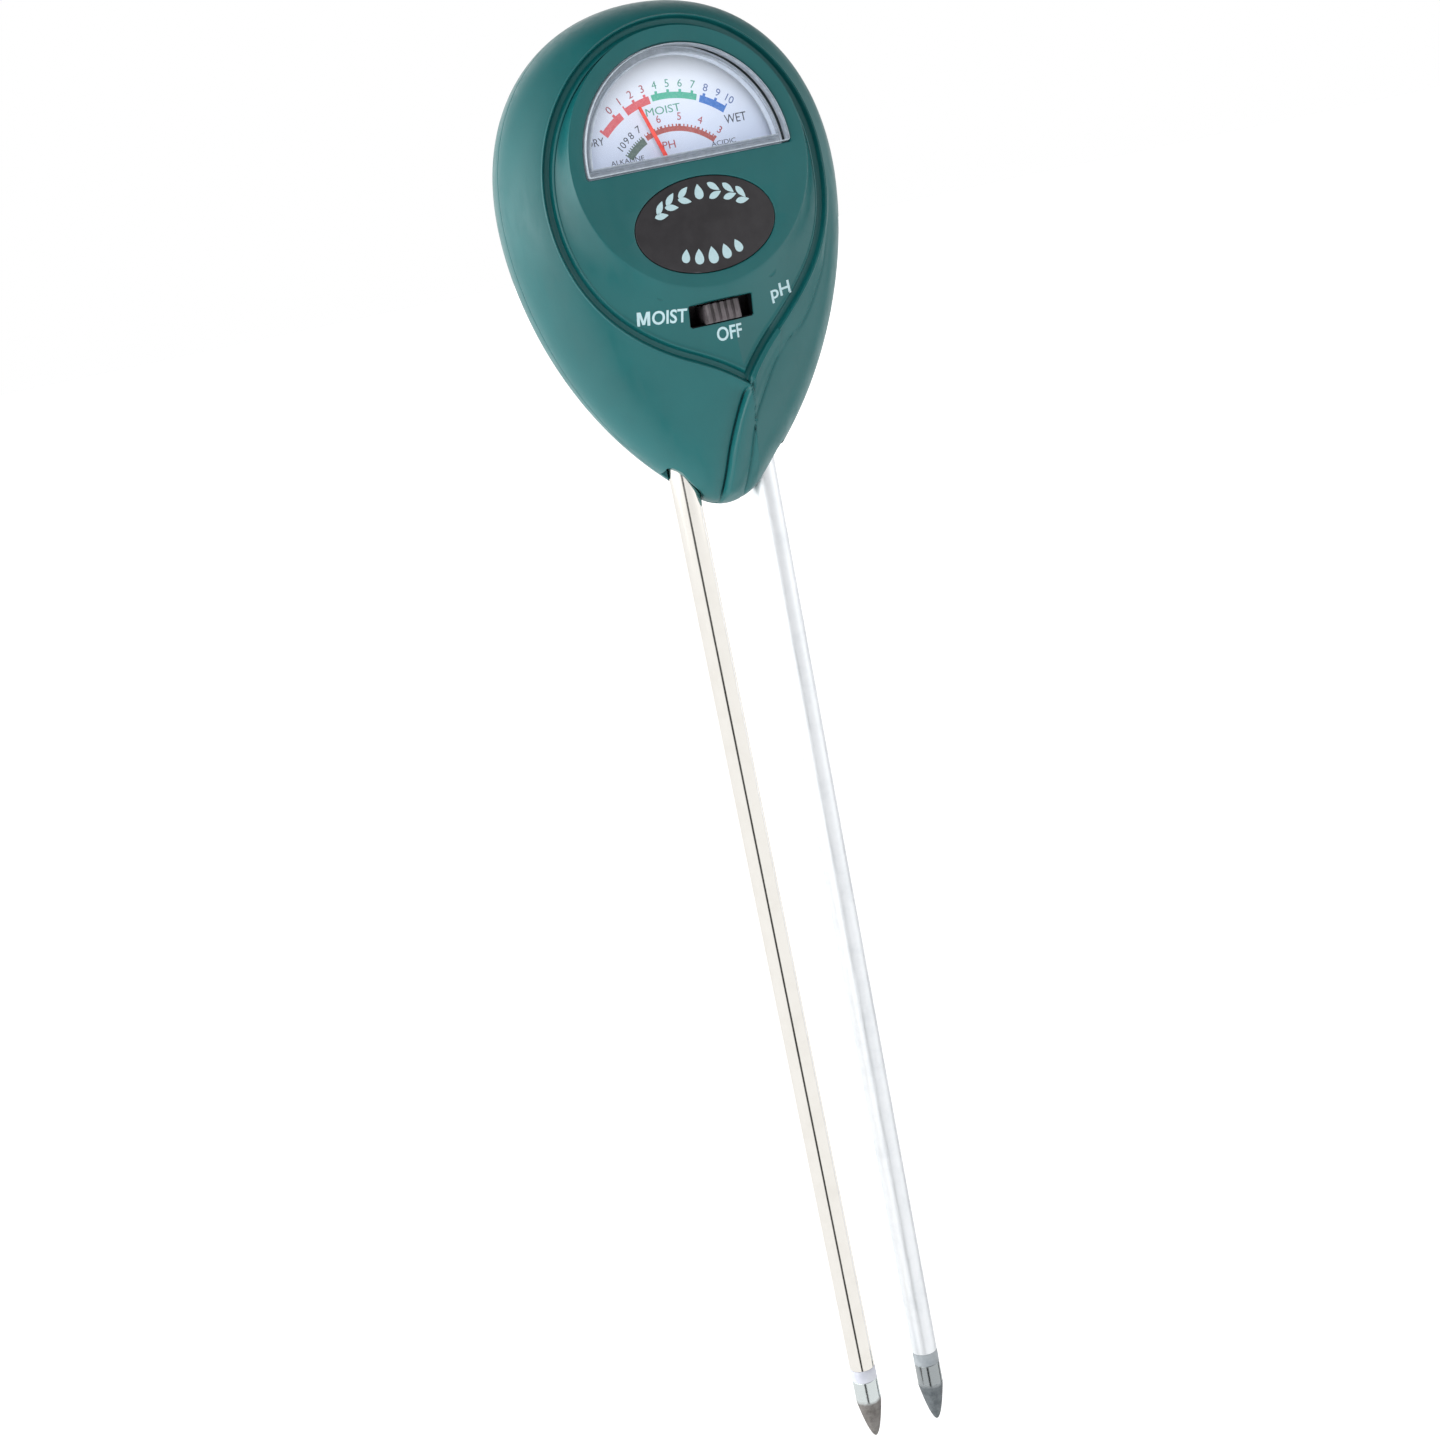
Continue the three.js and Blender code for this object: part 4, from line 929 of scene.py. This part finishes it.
def build_needle():
    """A thin blade with a counterweight, as it stands at rest."""
    outline = []
    tip, half, tail = 17.8, 0.42, 5.0
    outline += [(-half, -tail + 0.1), (-0.9, -tail + 0.2), (-0.9, -tail - 0.2 + 1.2), (-half, -3.6)]
    for a in np.radians(np.linspace(255, 105, 14)):
        outline.append((1.5 * math.cos(a), 1.5 * math.sin(a)))
    outline += [(-half * 0.98, 2.2), (-half * 0.7, tip - 0.3), (-half * 0.4, tip), (half * 0.4, tip), (half * 0.7, tip - 0.3), (half * 0.98, 2.2)]
    for a in np.radians(np.linspace(75, -75, 14)):
        outline.append((1.5 * math.cos(a), 1.5 * math.sin(a)))
    outline += [(half, -3.6), (0.9, -tail + 1.0), (0.9, -tail + 0.2), (half, -tail + 0.1)]
    outline = np.array(outline)[::-1]
    c, s = math.cos(NEEDLE_REST), math.sin(NEEDLE_REST)
    turned_outline = outline @ np.array([[c, s], [-s, c]])
    rings = [on_face(turned_outline, DIAL_N + n, PIVOT_V) for n in (1.62, 1.88)]
    needle = add_mesh("pointer", *loft(rings, "flat", "flat"))
    combine(needle, [face_rod("cut", 0, PIVOT_V, DIAL_N + 1, DIAL_N + 3, 0.75, 48)], "DIFFERENCE")
    bevel(needle, 0.05, 2)
    return soften(bake(needle), 40)


# ---------------------------------------------------------------- probes


def build_probe(side, lift):
    """Tube, insulating ring and pointed tip of one probe."""
    name = "left" if side < 0 else "right"
    axis = Matrix.Translation((0, 0, lift)) @ probe_axis(side)
    r, b, low = PROBE_RADIUS, PROBE_BORE, PROBE_TIP + PROBE_RING
    lip = 0.12
    outside = arc((r - lip, low + lip), lip, -90, 0, 5)
    outside += [(r, z) for z in np.linspace(low + 2, PROBE_TOP - 2, 40)]
    outside += arc((r - lip, PROBE_TOP - lip), lip, 0, 90, 5)
    tube = turned(f"{name}_tube", [(b, low)] + outside + [(b, PROBE_TOP)], 96)
    ring_profile = [(0.95, PROBE_TIP)] + arc((r - 0.1, PROBE_TIP + 0.1), 0.1, -90, 0, 4)
    ring_profile += arc((r - 0.1, low - 0.1), 0.1, 0, 90, 4) + [(0.95, low)]
    collar = turned(f"{name}_ring", ring_profile, 96)
    profile = [(0, 0.0)]
    for z in TIP_SHOULDER * np.linspace(0.06, 1, 34) ** 1.9:
        profile.append((r * (z / TIP_SHOULDER) ** 0.55, z))
    profile += [(r, z) for z in (9.5, 11, 12.5)] + arc((r - lip, PROBE_TIP - lip), lip, 0, 90, 5) + [(0, PROBE_TIP)]
    tip = turned(f"{name}_point", profile, 96)
    return [soften(place(obj, axis), 40) for obj in (tube, collar, tip)]


# ---------------------------------------------------------------- screws


def build_shell_screw(name, x, z):
    """A pan-head screw with a tapered cross recess, seen from the back."""
    length, radius, head, height = 8.6, 1.25, 2.4, 1.8
    profile = [(0, -length), (0.35, -length), (radius - 0.2, -length + 1.8)]
    turns = 14
    for k in range(turns):
        base = -length + 1.9 + k * (length - 2.6) / turns
        pitch = (length - 2.6) / turns
        profile += [(radius - 0.2, base), (radius, base + pitch * 0.35), (radius, base + pitch * 0.5), (radius - 0.2, base + pitch * 0.85)]
    profile += [(radius - 0.05, -0.4), (radius, 0), (head - 0.1, 0)] + arc((head - 0.1, 0.1), 0.1, -90, 0, 3)
    profile += [(head, 0.75)] + [(head * math.cos(a), 0.75 + 1.05 * math.sin(a)) for a in np.radians((12, 25, 40, 55, 70, 82))]
    profile += [(0, height)]
    screw = turned("screw", profile, 48)
    arms = []
    for turn in (0, 90):
        top, low = round_box(1.45, 0.34, 0.1, 3), round_box(0.5, 0.2, 0.08, 3)
        rings = [np.column_stack([low, np.full(len(low), 0.5)]), np.column_stack([top, np.full(len(top), height + 0.1)])]
        arms.append(place(add_mesh("arm", *loft(rings, "flat", "flat")), Matrix.Rotation(math.radians(turn), 4, "Z")))
    combine(screw, arms, "DIFFERENCE")
    screw.name = name
    place(screw, Matrix.Translation((x, 3, z)) @ Matrix.Rotation(-math.pi / 2, 4, "X") @ Matrix.Rotation(math.radians(x * 7 % 90), 4, "Z"))
    return soften(screw, 35)


# ---------------------------------------------------------------- materials


class Finish:
    """A node material built around one Principled shader, with patterns in object space in millimetres."""

    def __init__(self, name):
        self.material = bpy.data.materials.new(name)
        self.material.use_nodes = True
        self.tree = self.material.node_tree
        self.tree.nodes.clear()
        self.out = self.add("OutputMaterial")
        self.bsdf = self.add("BsdfPrincipled")
        self.link(self.bsdf.outputs[0], self.out.inputs["Surface"])
        self.place = self.add("TexCoord").outputs["Object"]
        self.bump = None

    def add(self, kind, **values):
        node = self.tree.nodes.new("ShaderNode" + kind)
        for key, value in values.items():
            setattr(node, key, value)
        return node

    def link(self, source, target):
        self.tree.links.new(source, target)
        return target

    def set(self, node, **values):
        for key, value in values.items():
            socket = node.inputs[key.replace("_", " ")]
            if hasattr(value, "is_linked") or isinstance(value, bpy.types.NodeSocket):
                self.link(value, socket)
            else:
                socket.default_value = value
        return node

    def noise(self, size, detail=3.0, rough=0.5, stretch=(1, 1, 1), distort=0.0):
        """Noise with features about `size` millimetres across, as a value round 0.5."""
        mapping = self.add("Mapping")
        self.link(self.place, mapping.inputs["Vector"])
        mapping.inputs["Scale"].default_value = [1000 * s for s in stretch]
        node = self.add("TexNoise")
        self.link(mapping.outputs[0], node.inputs["Vector"])
        return self.set(node, Scale=1 / size, Detail=detail, Roughness=rough, Distortion=distort).outputs["Fac"]

    def spread(self, value, low, high, to_low=0.0, to_high=1.0):
        node = self.add("MapRange")
        node.interpolation_type = "SMOOTHSTEP"
        self.link(value, node.inputs["Value"])
        for key, number in (("From Min", low), ("From Max", high), ("To Min", to_low), ("To Max", to_high)):
            node.inputs[key].default_value = number
        return node.outputs["Result"]

    def mix(self, factor, a, b, blend="MIX"):
        node = self.add("Mix", data_type="RGBA", blend_type=blend)
        for value, socket in ((factor, node.inputs[0]), (a, node.inputs[6]), (b, node.inputs[7])):
            if isinstance(value, bpy.types.NodeSocket):
                self.link(value, socket)
            else:
                socket.default_value = value
        return node.outputs[2]

    def maths(self, operation, a, b=0.0, c=0.0):
        node = self.add("Math", operation=operation)
        for value, socket in zip((a, b, c), node.inputs):
            if isinstance(value, bpy.types.NodeSocket):
                self.link(value, socket)
            else:
                socket.default_value = value
        return node.outputs[0]

    def relief(self, height, distance, strength=1.0):
        """Adds bump of a height in millimetres."""
        node = self.add("Bump")
        node.inputs["Strength"].default_value = strength
        node.inputs["Distance"].default_value = distance * MM
        self.link(height, node.inputs["Height"])
        if self.bump:
            self.link(self.bump, node.inputs["Normal"])
        self.bump = node.outputs["Normal"]
        self.link(self.bump, self.bsdf.inputs["Normal"])

    def crevices(self, reach, low, high, only_local=True):
        """1 on open surfaces, falling to 0 in narrow grooves and corners, for a painted shade where they lie in shadow.
        """
        node = self.add("AmbientOcclusion", samples=12, only_local=only_local)
        node.inputs["Distance"].default_value = reach * MM
        return self.spread(node.outputs["AO"], low, high)

    def worn_edges(self, low=0.52, high=0.62):
        return self.spread(self.add("NewGeometry").outputs["Pointiness"], low, high)


def rgb(text):
    """A linear colour from an sRGB hex code."""
    values = [int(text[i:i + 2], 16) / 255 for i in (0, 2, 4)]
    return (*[v / 12.92 if v <= 0.04045 else ((v + 0.055) / 1.055) ** 2.4 for v in values], 1.0)


def moulded(name, dark, light, roughness=0.4, grain=0.012, mottle=9.0, specular=0.5, edge=None, crevice_shade_colour="0b1a20",
            groove=(1.5, 0.42, 0.9)):
    """Moulded plastic: soft mottling, a fine satin grain, faint scuffs, sharp edges lightened (partly wear, partly a
    painted highlight) and a painted shade that darkens grooves and corners.
    """
    f = Finish(name)
    cloud = f.spread(f.noise(mottle, 4, 0.6), 0.3, 0.7)
    colour = f.mix(cloud, rgb(dark), rgb(light))
    speck = f.spread(f.noise(0.35, 2, 0.6), 0.55, 0.75, 0.0, 0.2)
    colour = f.mix(speck, colour, rgb(light))
    if edge:
        # Sharp edges lightened: partly wear, partly a painted highlight.
        colour = f.mix(f.maths("MULTIPLY", f.worn_edges(), 0.35), colour, rgb(edge))
    # Painted shade: grooves and corners darken towards the crevice shade colour and lose their specular, as if in
    # shadow.
    shade = f.crevices(*groove)
    colour = f.mix(shade, rgb(crevice_shade_colour), colour)
    f.set(f.bsdf, Base_Color=colour, Metallic=0.0)
    f.link(f.maths("MULTIPLY", shade, specular), f.bsdf.inputs["Specular IOR Level"])
    scuff = f.spread(f.noise(2.2, 5, 0.65, (1, 1, 0.35), 0.6), 0.35, 0.75, roughness - 0.06, roughness + 0.09)
    f.link(scuff, f.bsdf.inputs["Roughness"])
    f.relief(f.noise(0.28, 3, 0.6), grain)
    return f.material


def metal(name, dark, light, roughness=0.2, stretch=(1, 1, 0.04), brushed=0.006, tarnish=0.25, metallic=1.0):
    """Plated or drawn metal with fine lines along the stretch axis and faint cloudy tarnish."""
    f = Finish(name)
    cloud = f.maths("MULTIPLY", f.spread(f.noise(5, 5, 0.65), 0.4, 0.75), tarnish)
    f.set(f.bsdf, Base_Color=f.mix(cloud, rgb(light), rgb(dark)), Metallic=metallic)
    lines = f.noise(0.25, 3, 0.7, stretch)
    f.link(f.spread(lines, 0.2, 0.8, roughness * 0.7, roughness * 1.35), f.bsdf.inputs["Roughness"])
    f.relief(lines, brushed)
    return f.material


def tip_metal(name, lift, bright_colour, dark, light):
    """Bare metal, bright and shiny above, duller and darker towards the point."""
    f = Finish(name)
    height = f.add("SeparateXYZ")
    f.link(f.place, height.inputs[0])
    level = f.maths("MULTIPLY_ADD", height.outputs[2], 1000.0, f.maths("MULTIPLY_ADD", f.noise(2.5, 3, 0.6), 1.6, -lift))
    bright = f.spread(level, 9.0, 10.2)
    stain = f.spread(f.noise(1.6, 5, 0.7), 0.3, 0.7)
    f.set(f.bsdf, Base_Color=f.mix(bright, f.mix(stain, rgb(dark), rgb(light)), rgb(bright_colour)))
    f.link(f.maths("MULTIPLY_ADD", bright, 0.5, 0.5), f.bsdf.inputs["Metallic"])
    f.link(f.spread(bright, 0, 1, 0.5, 0.16), f.bsdf.inputs["Roughness"])
    f.relief(f.noise(0.4, 4, 0.6), 0.012)
    return f.material


def ink(name, colour, pale):
    """Printing ink, slightly uneven, letting a little of the card through."""
    f = Finish(name)
    patch = f.spread(f.noise(0.45, 3, 0.7), 0.35, 0.75, 0.0, 0.35)
    f.set(f.bsdf, Base_Color=f.mix(patch, rgb(colour), rgb(pale)), Roughness=0.55)
    f.relief(f.noise(0.12, 2), 0.004)
    return f.material


def dial_card_material():
    """White card, bluer and darker towards the bottom, with paper fibre."""
    f = Finish("dial_card")
    split = f.add("SeparateXYZ")
    f.link(f.place, split.inputs[0])
    height = f.spread(split.outputs[2], 0.262, 0.285)
    colour = f.mix(height, rgb("cfdbef"), rgb("f2f8fd"))
    fibre = f.spread(f.noise(0.2, 4, 0.7, (1, 1, 3)), 0.4, 0.8, 0.0, 0.12)
    f.set(f.bsdf, Base_Color=f.mix(fibre, colour, rgb("b9c4e0")), Roughness=0.6)
    f.relief(f.noise(0.15, 3), 0.006)
    return f.material


def clear_material(name):
    """Clear plastic: see-through, with a sharp reflection."""
    f = Finish(name)
    haze = f.spread(f.noise(3, 4, 0.6), 0.35, 0.75)
    f.set(f.bsdf, Base_Color=f.mix(haze, rgb("96949a"), rgb("b4b4bb")), Roughness=0.12)
    fresnel = f.add("Fresnel")
    fresnel.inputs["IOR"].default_value = 1.45
    front = f.maths("SUBTRACT", 1.0, f.add("NewGeometry").outputs["Backfacing"])
    mirror = f.maths("MULTIPLY", fresnel.outputs[0], front)
    return see_through(f, f.maths("ADD", mirror, f.spread(haze, 0, 1, 0.0, 0.01)), (0.99, 0.99, 1.0, 1))


def clear_wall_material(name):
    """The edges of thick clear plastic, with painted shade: greyer near the front and thin dark lines at its steps, and
    a faint painted glow.
    """
    f = Finish(name)
    out = f.add("VectorMath", operation="DOT_PRODUCT")
    f.link(f.place, out.inputs[0])
    out.inputs[1].default_value = OUT_OF_FACE
    depth = f.maths("MULTIPLY_ADD", out.outputs["Value"], 1000.0, -OUT_OF_FACE.dot((0, FACE_Y, FACE_Z)))
    colour = f.mix(f.spread(depth, -3.0, -1.8), rgb("ccd5de"), rgb("99a3ad"))
    for step in WALL_SHADE_LINES:
        away = f.maths("ABSOLUTE", f.maths("SUBTRACT", depth, step))
        colour = f.mix(f.spread(away, 0.05, 0.18, 0.6, 0.0), colour, rgb("3c464e"))
    haze = f.spread(f.noise(1.2, 4, 0.6), 0.35, 0.75)
    colour = f.mix(f.maths("MULTIPLY", haze, 0.35), colour, rgb("d5dde4"))
    # The faint emission is a painted glow, standing in for light carried through the clear plastic.
    f.set(f.bsdf, Base_Color=colour, Roughness=0.3, Emission_Color=colour, Emission_Strength=0.14)
    return see_through(f, f.spread(haze, 0, 1, 0.9, 0.97), (0.8, 0.8, 0.82, 1))


def see_through(f, amount, tint):
    """Mixes the finish's own shader, by an amount, with a tinted view of what lies behind."""
    see = f.add("BsdfTransparent")
    see.inputs["Color"].default_value = tint
    mixed = f.add("MixShader")
    f.link(f.maths("MINIMUM", amount, 1.0), mixed.inputs[0])
    f.link(see.outputs[0], mixed.inputs[1])
    f.link(f.bsdf.outputs[0], mixed.inputs[2])
    f.link(mixed.outputs[0], f.out.inputs["Surface"])
    return f.material


def paint(obj, *materials):
    obj.data.materials.clear()
    for material in materials:
        obj.data.materials.append(material)
    return obj


# The green's painted shade reaches only 0.4 mm, so it paints dark shade lines in the channel's corners.
green = moulded("green_plastic", "055c5e", "0a6163", 0.37, 0.007, 14, 0.56, groove=(0.4, 0.5, 0.97))
# The knob's painted shade reaches 4 mm and counts other parts too, so its flanks deep in the slot go near-black as if
# in shadow.
knob_finish = moulded("knob_plastic", "3f3a3c", "625b5f", 0.42, 0.012, 3, 0.5, "8d868a", "060405",
                      groove=(4.0, 0.35, 0.75, False))
badge_finish = moulded("badge_plastic", "262427", "312f32", 0.42, 0.006, 5, 0.4, "77757a")
# A near-black material that paints shade on the switch slot's walls.
slot_painted_shade = moulded("slot_painted_shade", "0c0d0f", "17191c", 0.6, 0.01, 4, 0.15)
white_finish = moulded("white_plastic", "cfccc2", "e8e6de", 0.5, 0.01, 6, 0.4)
left_ring = moulded("left_ring_plastic", "b9bcc8", "d0d3dc", 0.5, 0.012, 4, 0.4)
right_ring = moulded("right_ring_plastic", "8f979d", "adb4b9", 0.5, 0.012, 4, 0.4)
board_finish = moulded("circuit_board", "7d5f28", "a5823f", 0.6, 0.01, 4, 0.4)
resistor_finish = moulded("resistor_body", "b89f72", "d2bd92", 0.55, 0.008, 2, 0.4)
red_wire = moulded("red_wire", "9f2824", "c23b33", 0.45, 0.006, 3, 0.4)
black_wire = moulded("black_wire", "1b1b1c", "2e2e30", 0.45, 0.006, 3, 0.4)
needle_finish = moulded("needle_paint", "e0392e", "f4564a", 0.45, 0.004, 2, 0.4)
label_ink = ink("label_ink", "bfdce2", "9dc3cc")
nickel = metal("nickel", "cfc8bb", "f3f0ea", 0.1, (1, 1, 0.02), 0.0015, 0.15)
satin = metal("satin_metal", "c9d0d6", "f4f7fa", 0.42, (1, 1, 0.02), 0.004, 0.25)
left_tip = tip_metal("left_tip_metal", LEFT_LIFT, "d5dcdc", "5f5b58", "83807d")
right_tip = tip_metal("right_tip_metal", 0.0, "a3a9ab", "565d61", "757c80")
steel = metal("steel", "6f7174", "b4b6b9", 0.3, (1, 1, 1), 0.004, 0.4)
brass = metal("brass", "8d6f34", "c9a75a", 0.3, (1, 1, 1), 0.004, 0.4)
copper = metal("copper", "8a4c27", "c4794a", 0.32, (1, 1, 0.2), 0.006, 0.4)
aluminium = metal("aluminium", "8e9298", "c3c7cd", 0.34, (1, 1, 1), 0.004, 0.3)
magnet = metal("magnet", "35373a", "5b5d60", 0.5, (1, 1, 1), 0.012, 0.6, 0.8)

# ---------------------------------------------------------------- assembly


def fit(obj, material, body, slot, *stands_for):
    paint(obj, material)
    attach(obj, body)
    if stands_for:
        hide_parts(*stands_for)
    return obj


front_shell = fit(build_front_shell(), green, "housing", "green_plastic", "front_shell")
# The slot's inner walls take the near-black painted shade, as if in deep shadow.
front_shell.data.materials.append(slot_painted_shade)
for polygon in front_shell.data.polygons:
    x, v, n = on_face_at(polygon.center / MM)
    inside = abs(x) < SLOT_LENGTH / 2 + 0.1 and abs(v - SLOT_V) < SLOT_HEIGHT / 2 + 0.1
    polygon.material_index = 1 if inside and front_y(x, polygon.center.z / MM) - polygon.center.y / MM < -0.35 else 0
fit(build_rear_shell(), green, "housing", "green_plastic", "rear_shell")

cover = fit(build_window(), clear_material("clear_plastic"), "housing", "clear_plastic", "dial_window")
cover.data.materials.append(clear_wall_material("clear_wall"))
for polygon in cover.data.polygons:
    depth = (polygon.center / MM - Vector((0, FACE_Y, FACE_Z))).dot(OUT_OF_FACE)
    flat = abs(polygon.normal.dot(OUT_OF_FACE)) > 0.9
    polygon.material_index = 0 if flat and depth > -4 else 1

behind_window = [cover, fit(build_dial_plate(), dial_card_material(), "housing", "dial_card", "dial_plate")]
inks = {
    "dry_band": ink("dry_red", "d9656b", "e9a0a6"),
    "moist_band": ink("moist_green", "55b59a", "93cdbd"),
    "wet_band": ink("wet_blue", "4479c4", "86a8da"),
    "alkaline_band": ink("alkaline_grey", "5c7169", "8b9c95"),
    "acid_band": ink("acid_red", "b05a55", "cb8f8b"),
    "red_numbers": ink("number_red", "a8505a", "c68088"),
    "green_numbers": ink("number_green", "5aa08c", "86bfae"),
    "blue_numbers": ink("number_blue", "5a70a4", "8494be"),
    "grey_words": ink("word_grey", "454c5a", "737b8c"),
}
for name, piece in build_printing().items():
    behind_window.append(fit(soften(piece, 30), inks[name], "housing", "dial_card"))
fit(soften(build_face_labels(), 30), label_ink, "housing", "white_plastic")

fit(build_badge(), badge_finish, "housing", "black_plastic", "badge_plate")
fit(soften(build_badge_ornament(), 30), label_ink, "housing", "white_plastic")
fit(build_knob(), knob_finish, "switch_slider", "knob_plastic", "switch_knob")
behind_window.append(fit(build_needle(), needle_finish, "needle_and_coil", "needle_red", "needle"))

for name, side, lift, tube_finish, collar_finish, tip_finish, slot_name in (
        ("left", -1, LEFT_LIFT, nickel, left_ring, left_tip, "nickel"),
        ("right", 1, 0.0, satin, right_ring, right_tip, "aluminium")):
    tube, collar, tip = build_probe(side, lift)
    fit(tube, tube_finish, "housing", slot_name, f"{name}_probe_tube")
    fit(collar, collar_finish, "housing", "ring_plastic", f"{name}_insulating_ring")
    fit(tip, tip_finish, "housing", "tip_metal", f"{name}_probe_tip")

for (x, z), name in zip(SHELL_SCREWS, ("upper_left", "upper_right", "lower_left", "lower_right")):
    fit(build_shell_screw(f"back_screw_{name}", x, z), steel, "housing", "steel", f"shell_screw_{name}")

CARRIED = {
    "dial_screw_": steel, "movement_screw_": steel, "board_screw_": steel, "movement_plate": white_finish,
    "yoke_ring": steel, "core_magnet": magnet, "core_spacer_": brass, "front_bridge": brass, "rear_bridge": brass,
    "front_jewel": brass, "rear_jewel": brass, "front_hairspring": brass, "rear_hairspring": brass,
    "needle_hub": needle_finish, "front_pivot": steel, "rear_pivot": steel, "coil_former": aluminium,
    "coil_winding": copper, "switch_wiper": copper, "switch_can": steel, "switch_base": board_finish,
    "switch_terminal_": copper, "circuit_board": board_finish, "moisture_resistor": resistor_finish,
    "ph_resistor": resistor_finish, "left_core_rod": copper, "right_core_rod": copper,
    "probe_holder": white_finish, "left_probe_wire": red_wire, "left_coil_wire": red_wire,
    "right_probe_wire": black_wire, "right_coil_wire": black_wire,
}
ROUNDED = ("core_spacer_", "front_bridge", "rear_bridge", "movement_plate", "coil_former", "switch_wiper",
           "switch_can", "switch_base", "circuit_board", "probe_holder")
for name, node in nodes.items():
    if node.hide_render:
        continue
    finish = next(value for key, value in CARRIED.items() if name.startswith(key))
    paint(node, finish)
    node.data.polygons.foreach_set("use_smooth", [True] * len(node.data.polygons))
    node.data.set_sharp_from_angle(angle=math.radians(35))
    if name.startswith(ROUNDED):
        bevel(node, 0.12, 2, 50)

# ---------------------------------------------------------------- floor, light and camera

floor = add_mesh("floor", np.array([(-6, -6, 0), (6, -6, 0), (6, 6, 0), (-6, 6, 0)]) * 1000.0 - (0, 0, 0.4), [(0, 1, 2, 3)])
floor_finish = Finish("floor")
floor_finish.set(floor_finish.bsdf, Base_Color=(0.95, 0.95, 0.95, 1), Roughness=0.8, Emission_Color=(1, 1, 1, 1))
floor_finish.bsdf.inputs["Emission Strength"].default_value = FLOOR_GLOW
paint(floor, floor_finish.material)
floor.visible_diffuse = floor.visible_glossy = floor.visible_transmission = floor.visible_shadow = False


def build_world():
    """White to the camera; the meter itself is lit by soft patches and by dark slits seen in its metal."""
    world = bpy.data.worlds.new("studio")
    world.use_nodes = True
    tree = world.node_tree
    tree.nodes.clear()

    def add(kind, *values, **settings):
        node = tree.nodes.new("ShaderNode" + kind)
        for key, value in settings.items():
            setattr(node, key, value)
        for socket, value in zip(node.inputs, values):
            if isinstance(value, bpy.types.NodeSocket):
                tree.links.new(value, socket)
            else:
                socket.default_value = value
        return node

    def maths(operation, a, b=0.0, c=0.0):
        return add("Math", a, b, c, operation=operation).outputs[0]

    def along(towards):
        """Cosine between the direction looked in and a given one."""
        return add("VectorMath", direction, towards, operation="DOT_PRODUCT").outputs["Value"]

    def heading(azimuth, elevation=0.0):
        a, e = math.radians(azimuth), math.radians(elevation)
        return (math.cos(e) * math.sin(a), -math.cos(e) * math.cos(a), math.sin(e))

    direction = add("TexCoord").outputs["Generated"]
    total = maths("ADD", SKY_FILL, 0.0)
    for azimuth, elevation, strength in SOFT_LIGHTS:
        closeness = maths("MULTIPLY_ADD", along(heading(azimuth, elevation)), SOFTNESS, -SOFTNESS)
        total = maths("MULTIPLY_ADD", maths("EXPONENT", closeness), strength, total)
    path = add("LightPath").outputs
    low = add("MapRange", along((0, 0, 1)), -0.02, -0.16, 0.0, 1.0, interpolation_type="SMOOTHSTEP").outputs["Result"]
    table = low
    flat = add("VectorMath", direction, (1, 1, 0), operation="MULTIPLY").outputs[0]
    flat = add("VectorMath", flat, operation="NORMALIZE").outputs[0]
    for azimuth, half_width in DARK_SLITS:
        facing = add("VectorMath", flat, heading(azimuth), operation="DOT_PRODUCT").outputs["Value"]
        edge = 1 - math.cos(math.radians(half_width))
        slit = add("MapRange", facing, 1 - 1.7 * edge, 1 - 0.5 * edge, 1.0, SLIT_SHADE,
                   interpolation_type="SMOOTHSTEP").outputs["Result"]
        table = maths("MULTIPLY", table, slit)
    mirrored = maths("ADD", maths("MULTIPLY", maths("SUBTRACT", 1.0, low), total), maths("MULTIPLY", table, TABLE_WHITE))
    strength = maths("MULTIPLY_ADD", path["Is Glossy Ray"], maths("SUBTRACT", mirrored, total), total)
    strength = maths("MULTIPLY_ADD", path["Is Camera Ray"], maths("SUBTRACT", 1.0, strength), strength)
    background = add("Background", (1, 1, 1, 1), strength)
    tree.links.new(background.outputs[0], add("OutputWorld").inputs["Surface"])
    return world


scene.world = build_world()
scene.view_settings.view_transform = "Standard"

lamp_data = bpy.data.lights.new("dial_lamp", "AREA")
lamp_data.shape, lamp_data.size, lamp_data.energy = "SQUARE", 0.25, DIAL_LAMP_POWER
lamp = bpy.data.objects.new("dial_lamp", lamp_data)
lamp.matrix_world = Matrix.Translation((-0.12, -0.4, 0.42)) @ Matrix.Rotation(math.radians(-16), 4, "Z") @ Matrix.Rotation(math.radians(68), 4, "X")
scene.collection.objects.link(lamp)
lit = bpy.data.collections.new("behind_window")
for piece in behind_window:
    lit.objects.link(piece)
lamp.light_linking.receiver_collection = lit

camera_data = bpy.data.cameras.new("camera")
camera = bpy.data.objects.new("camera", camera_data)
scene.collection.objects.link(camera)
right, up, forward = (Vector(v) for v in (
    (0.895089, -0.403804, -0.189098), (0.264002, 0.138179, 0.954573), (0.359331, 0.904350, -0.230288)))
camera.matrix_world = Matrix.Translation(Vector((-175.648, -415.904, 265.240)) * MM) @ Matrix(
    (right, up, -forward)).transposed().to_4x4()
camera_data.sensor_width = 36
camera_data.lens = 2380.03 / 1440 * 36
camera_data.clip_start, camera_data.clip_end = 0.01, 50
scene.camera = camera
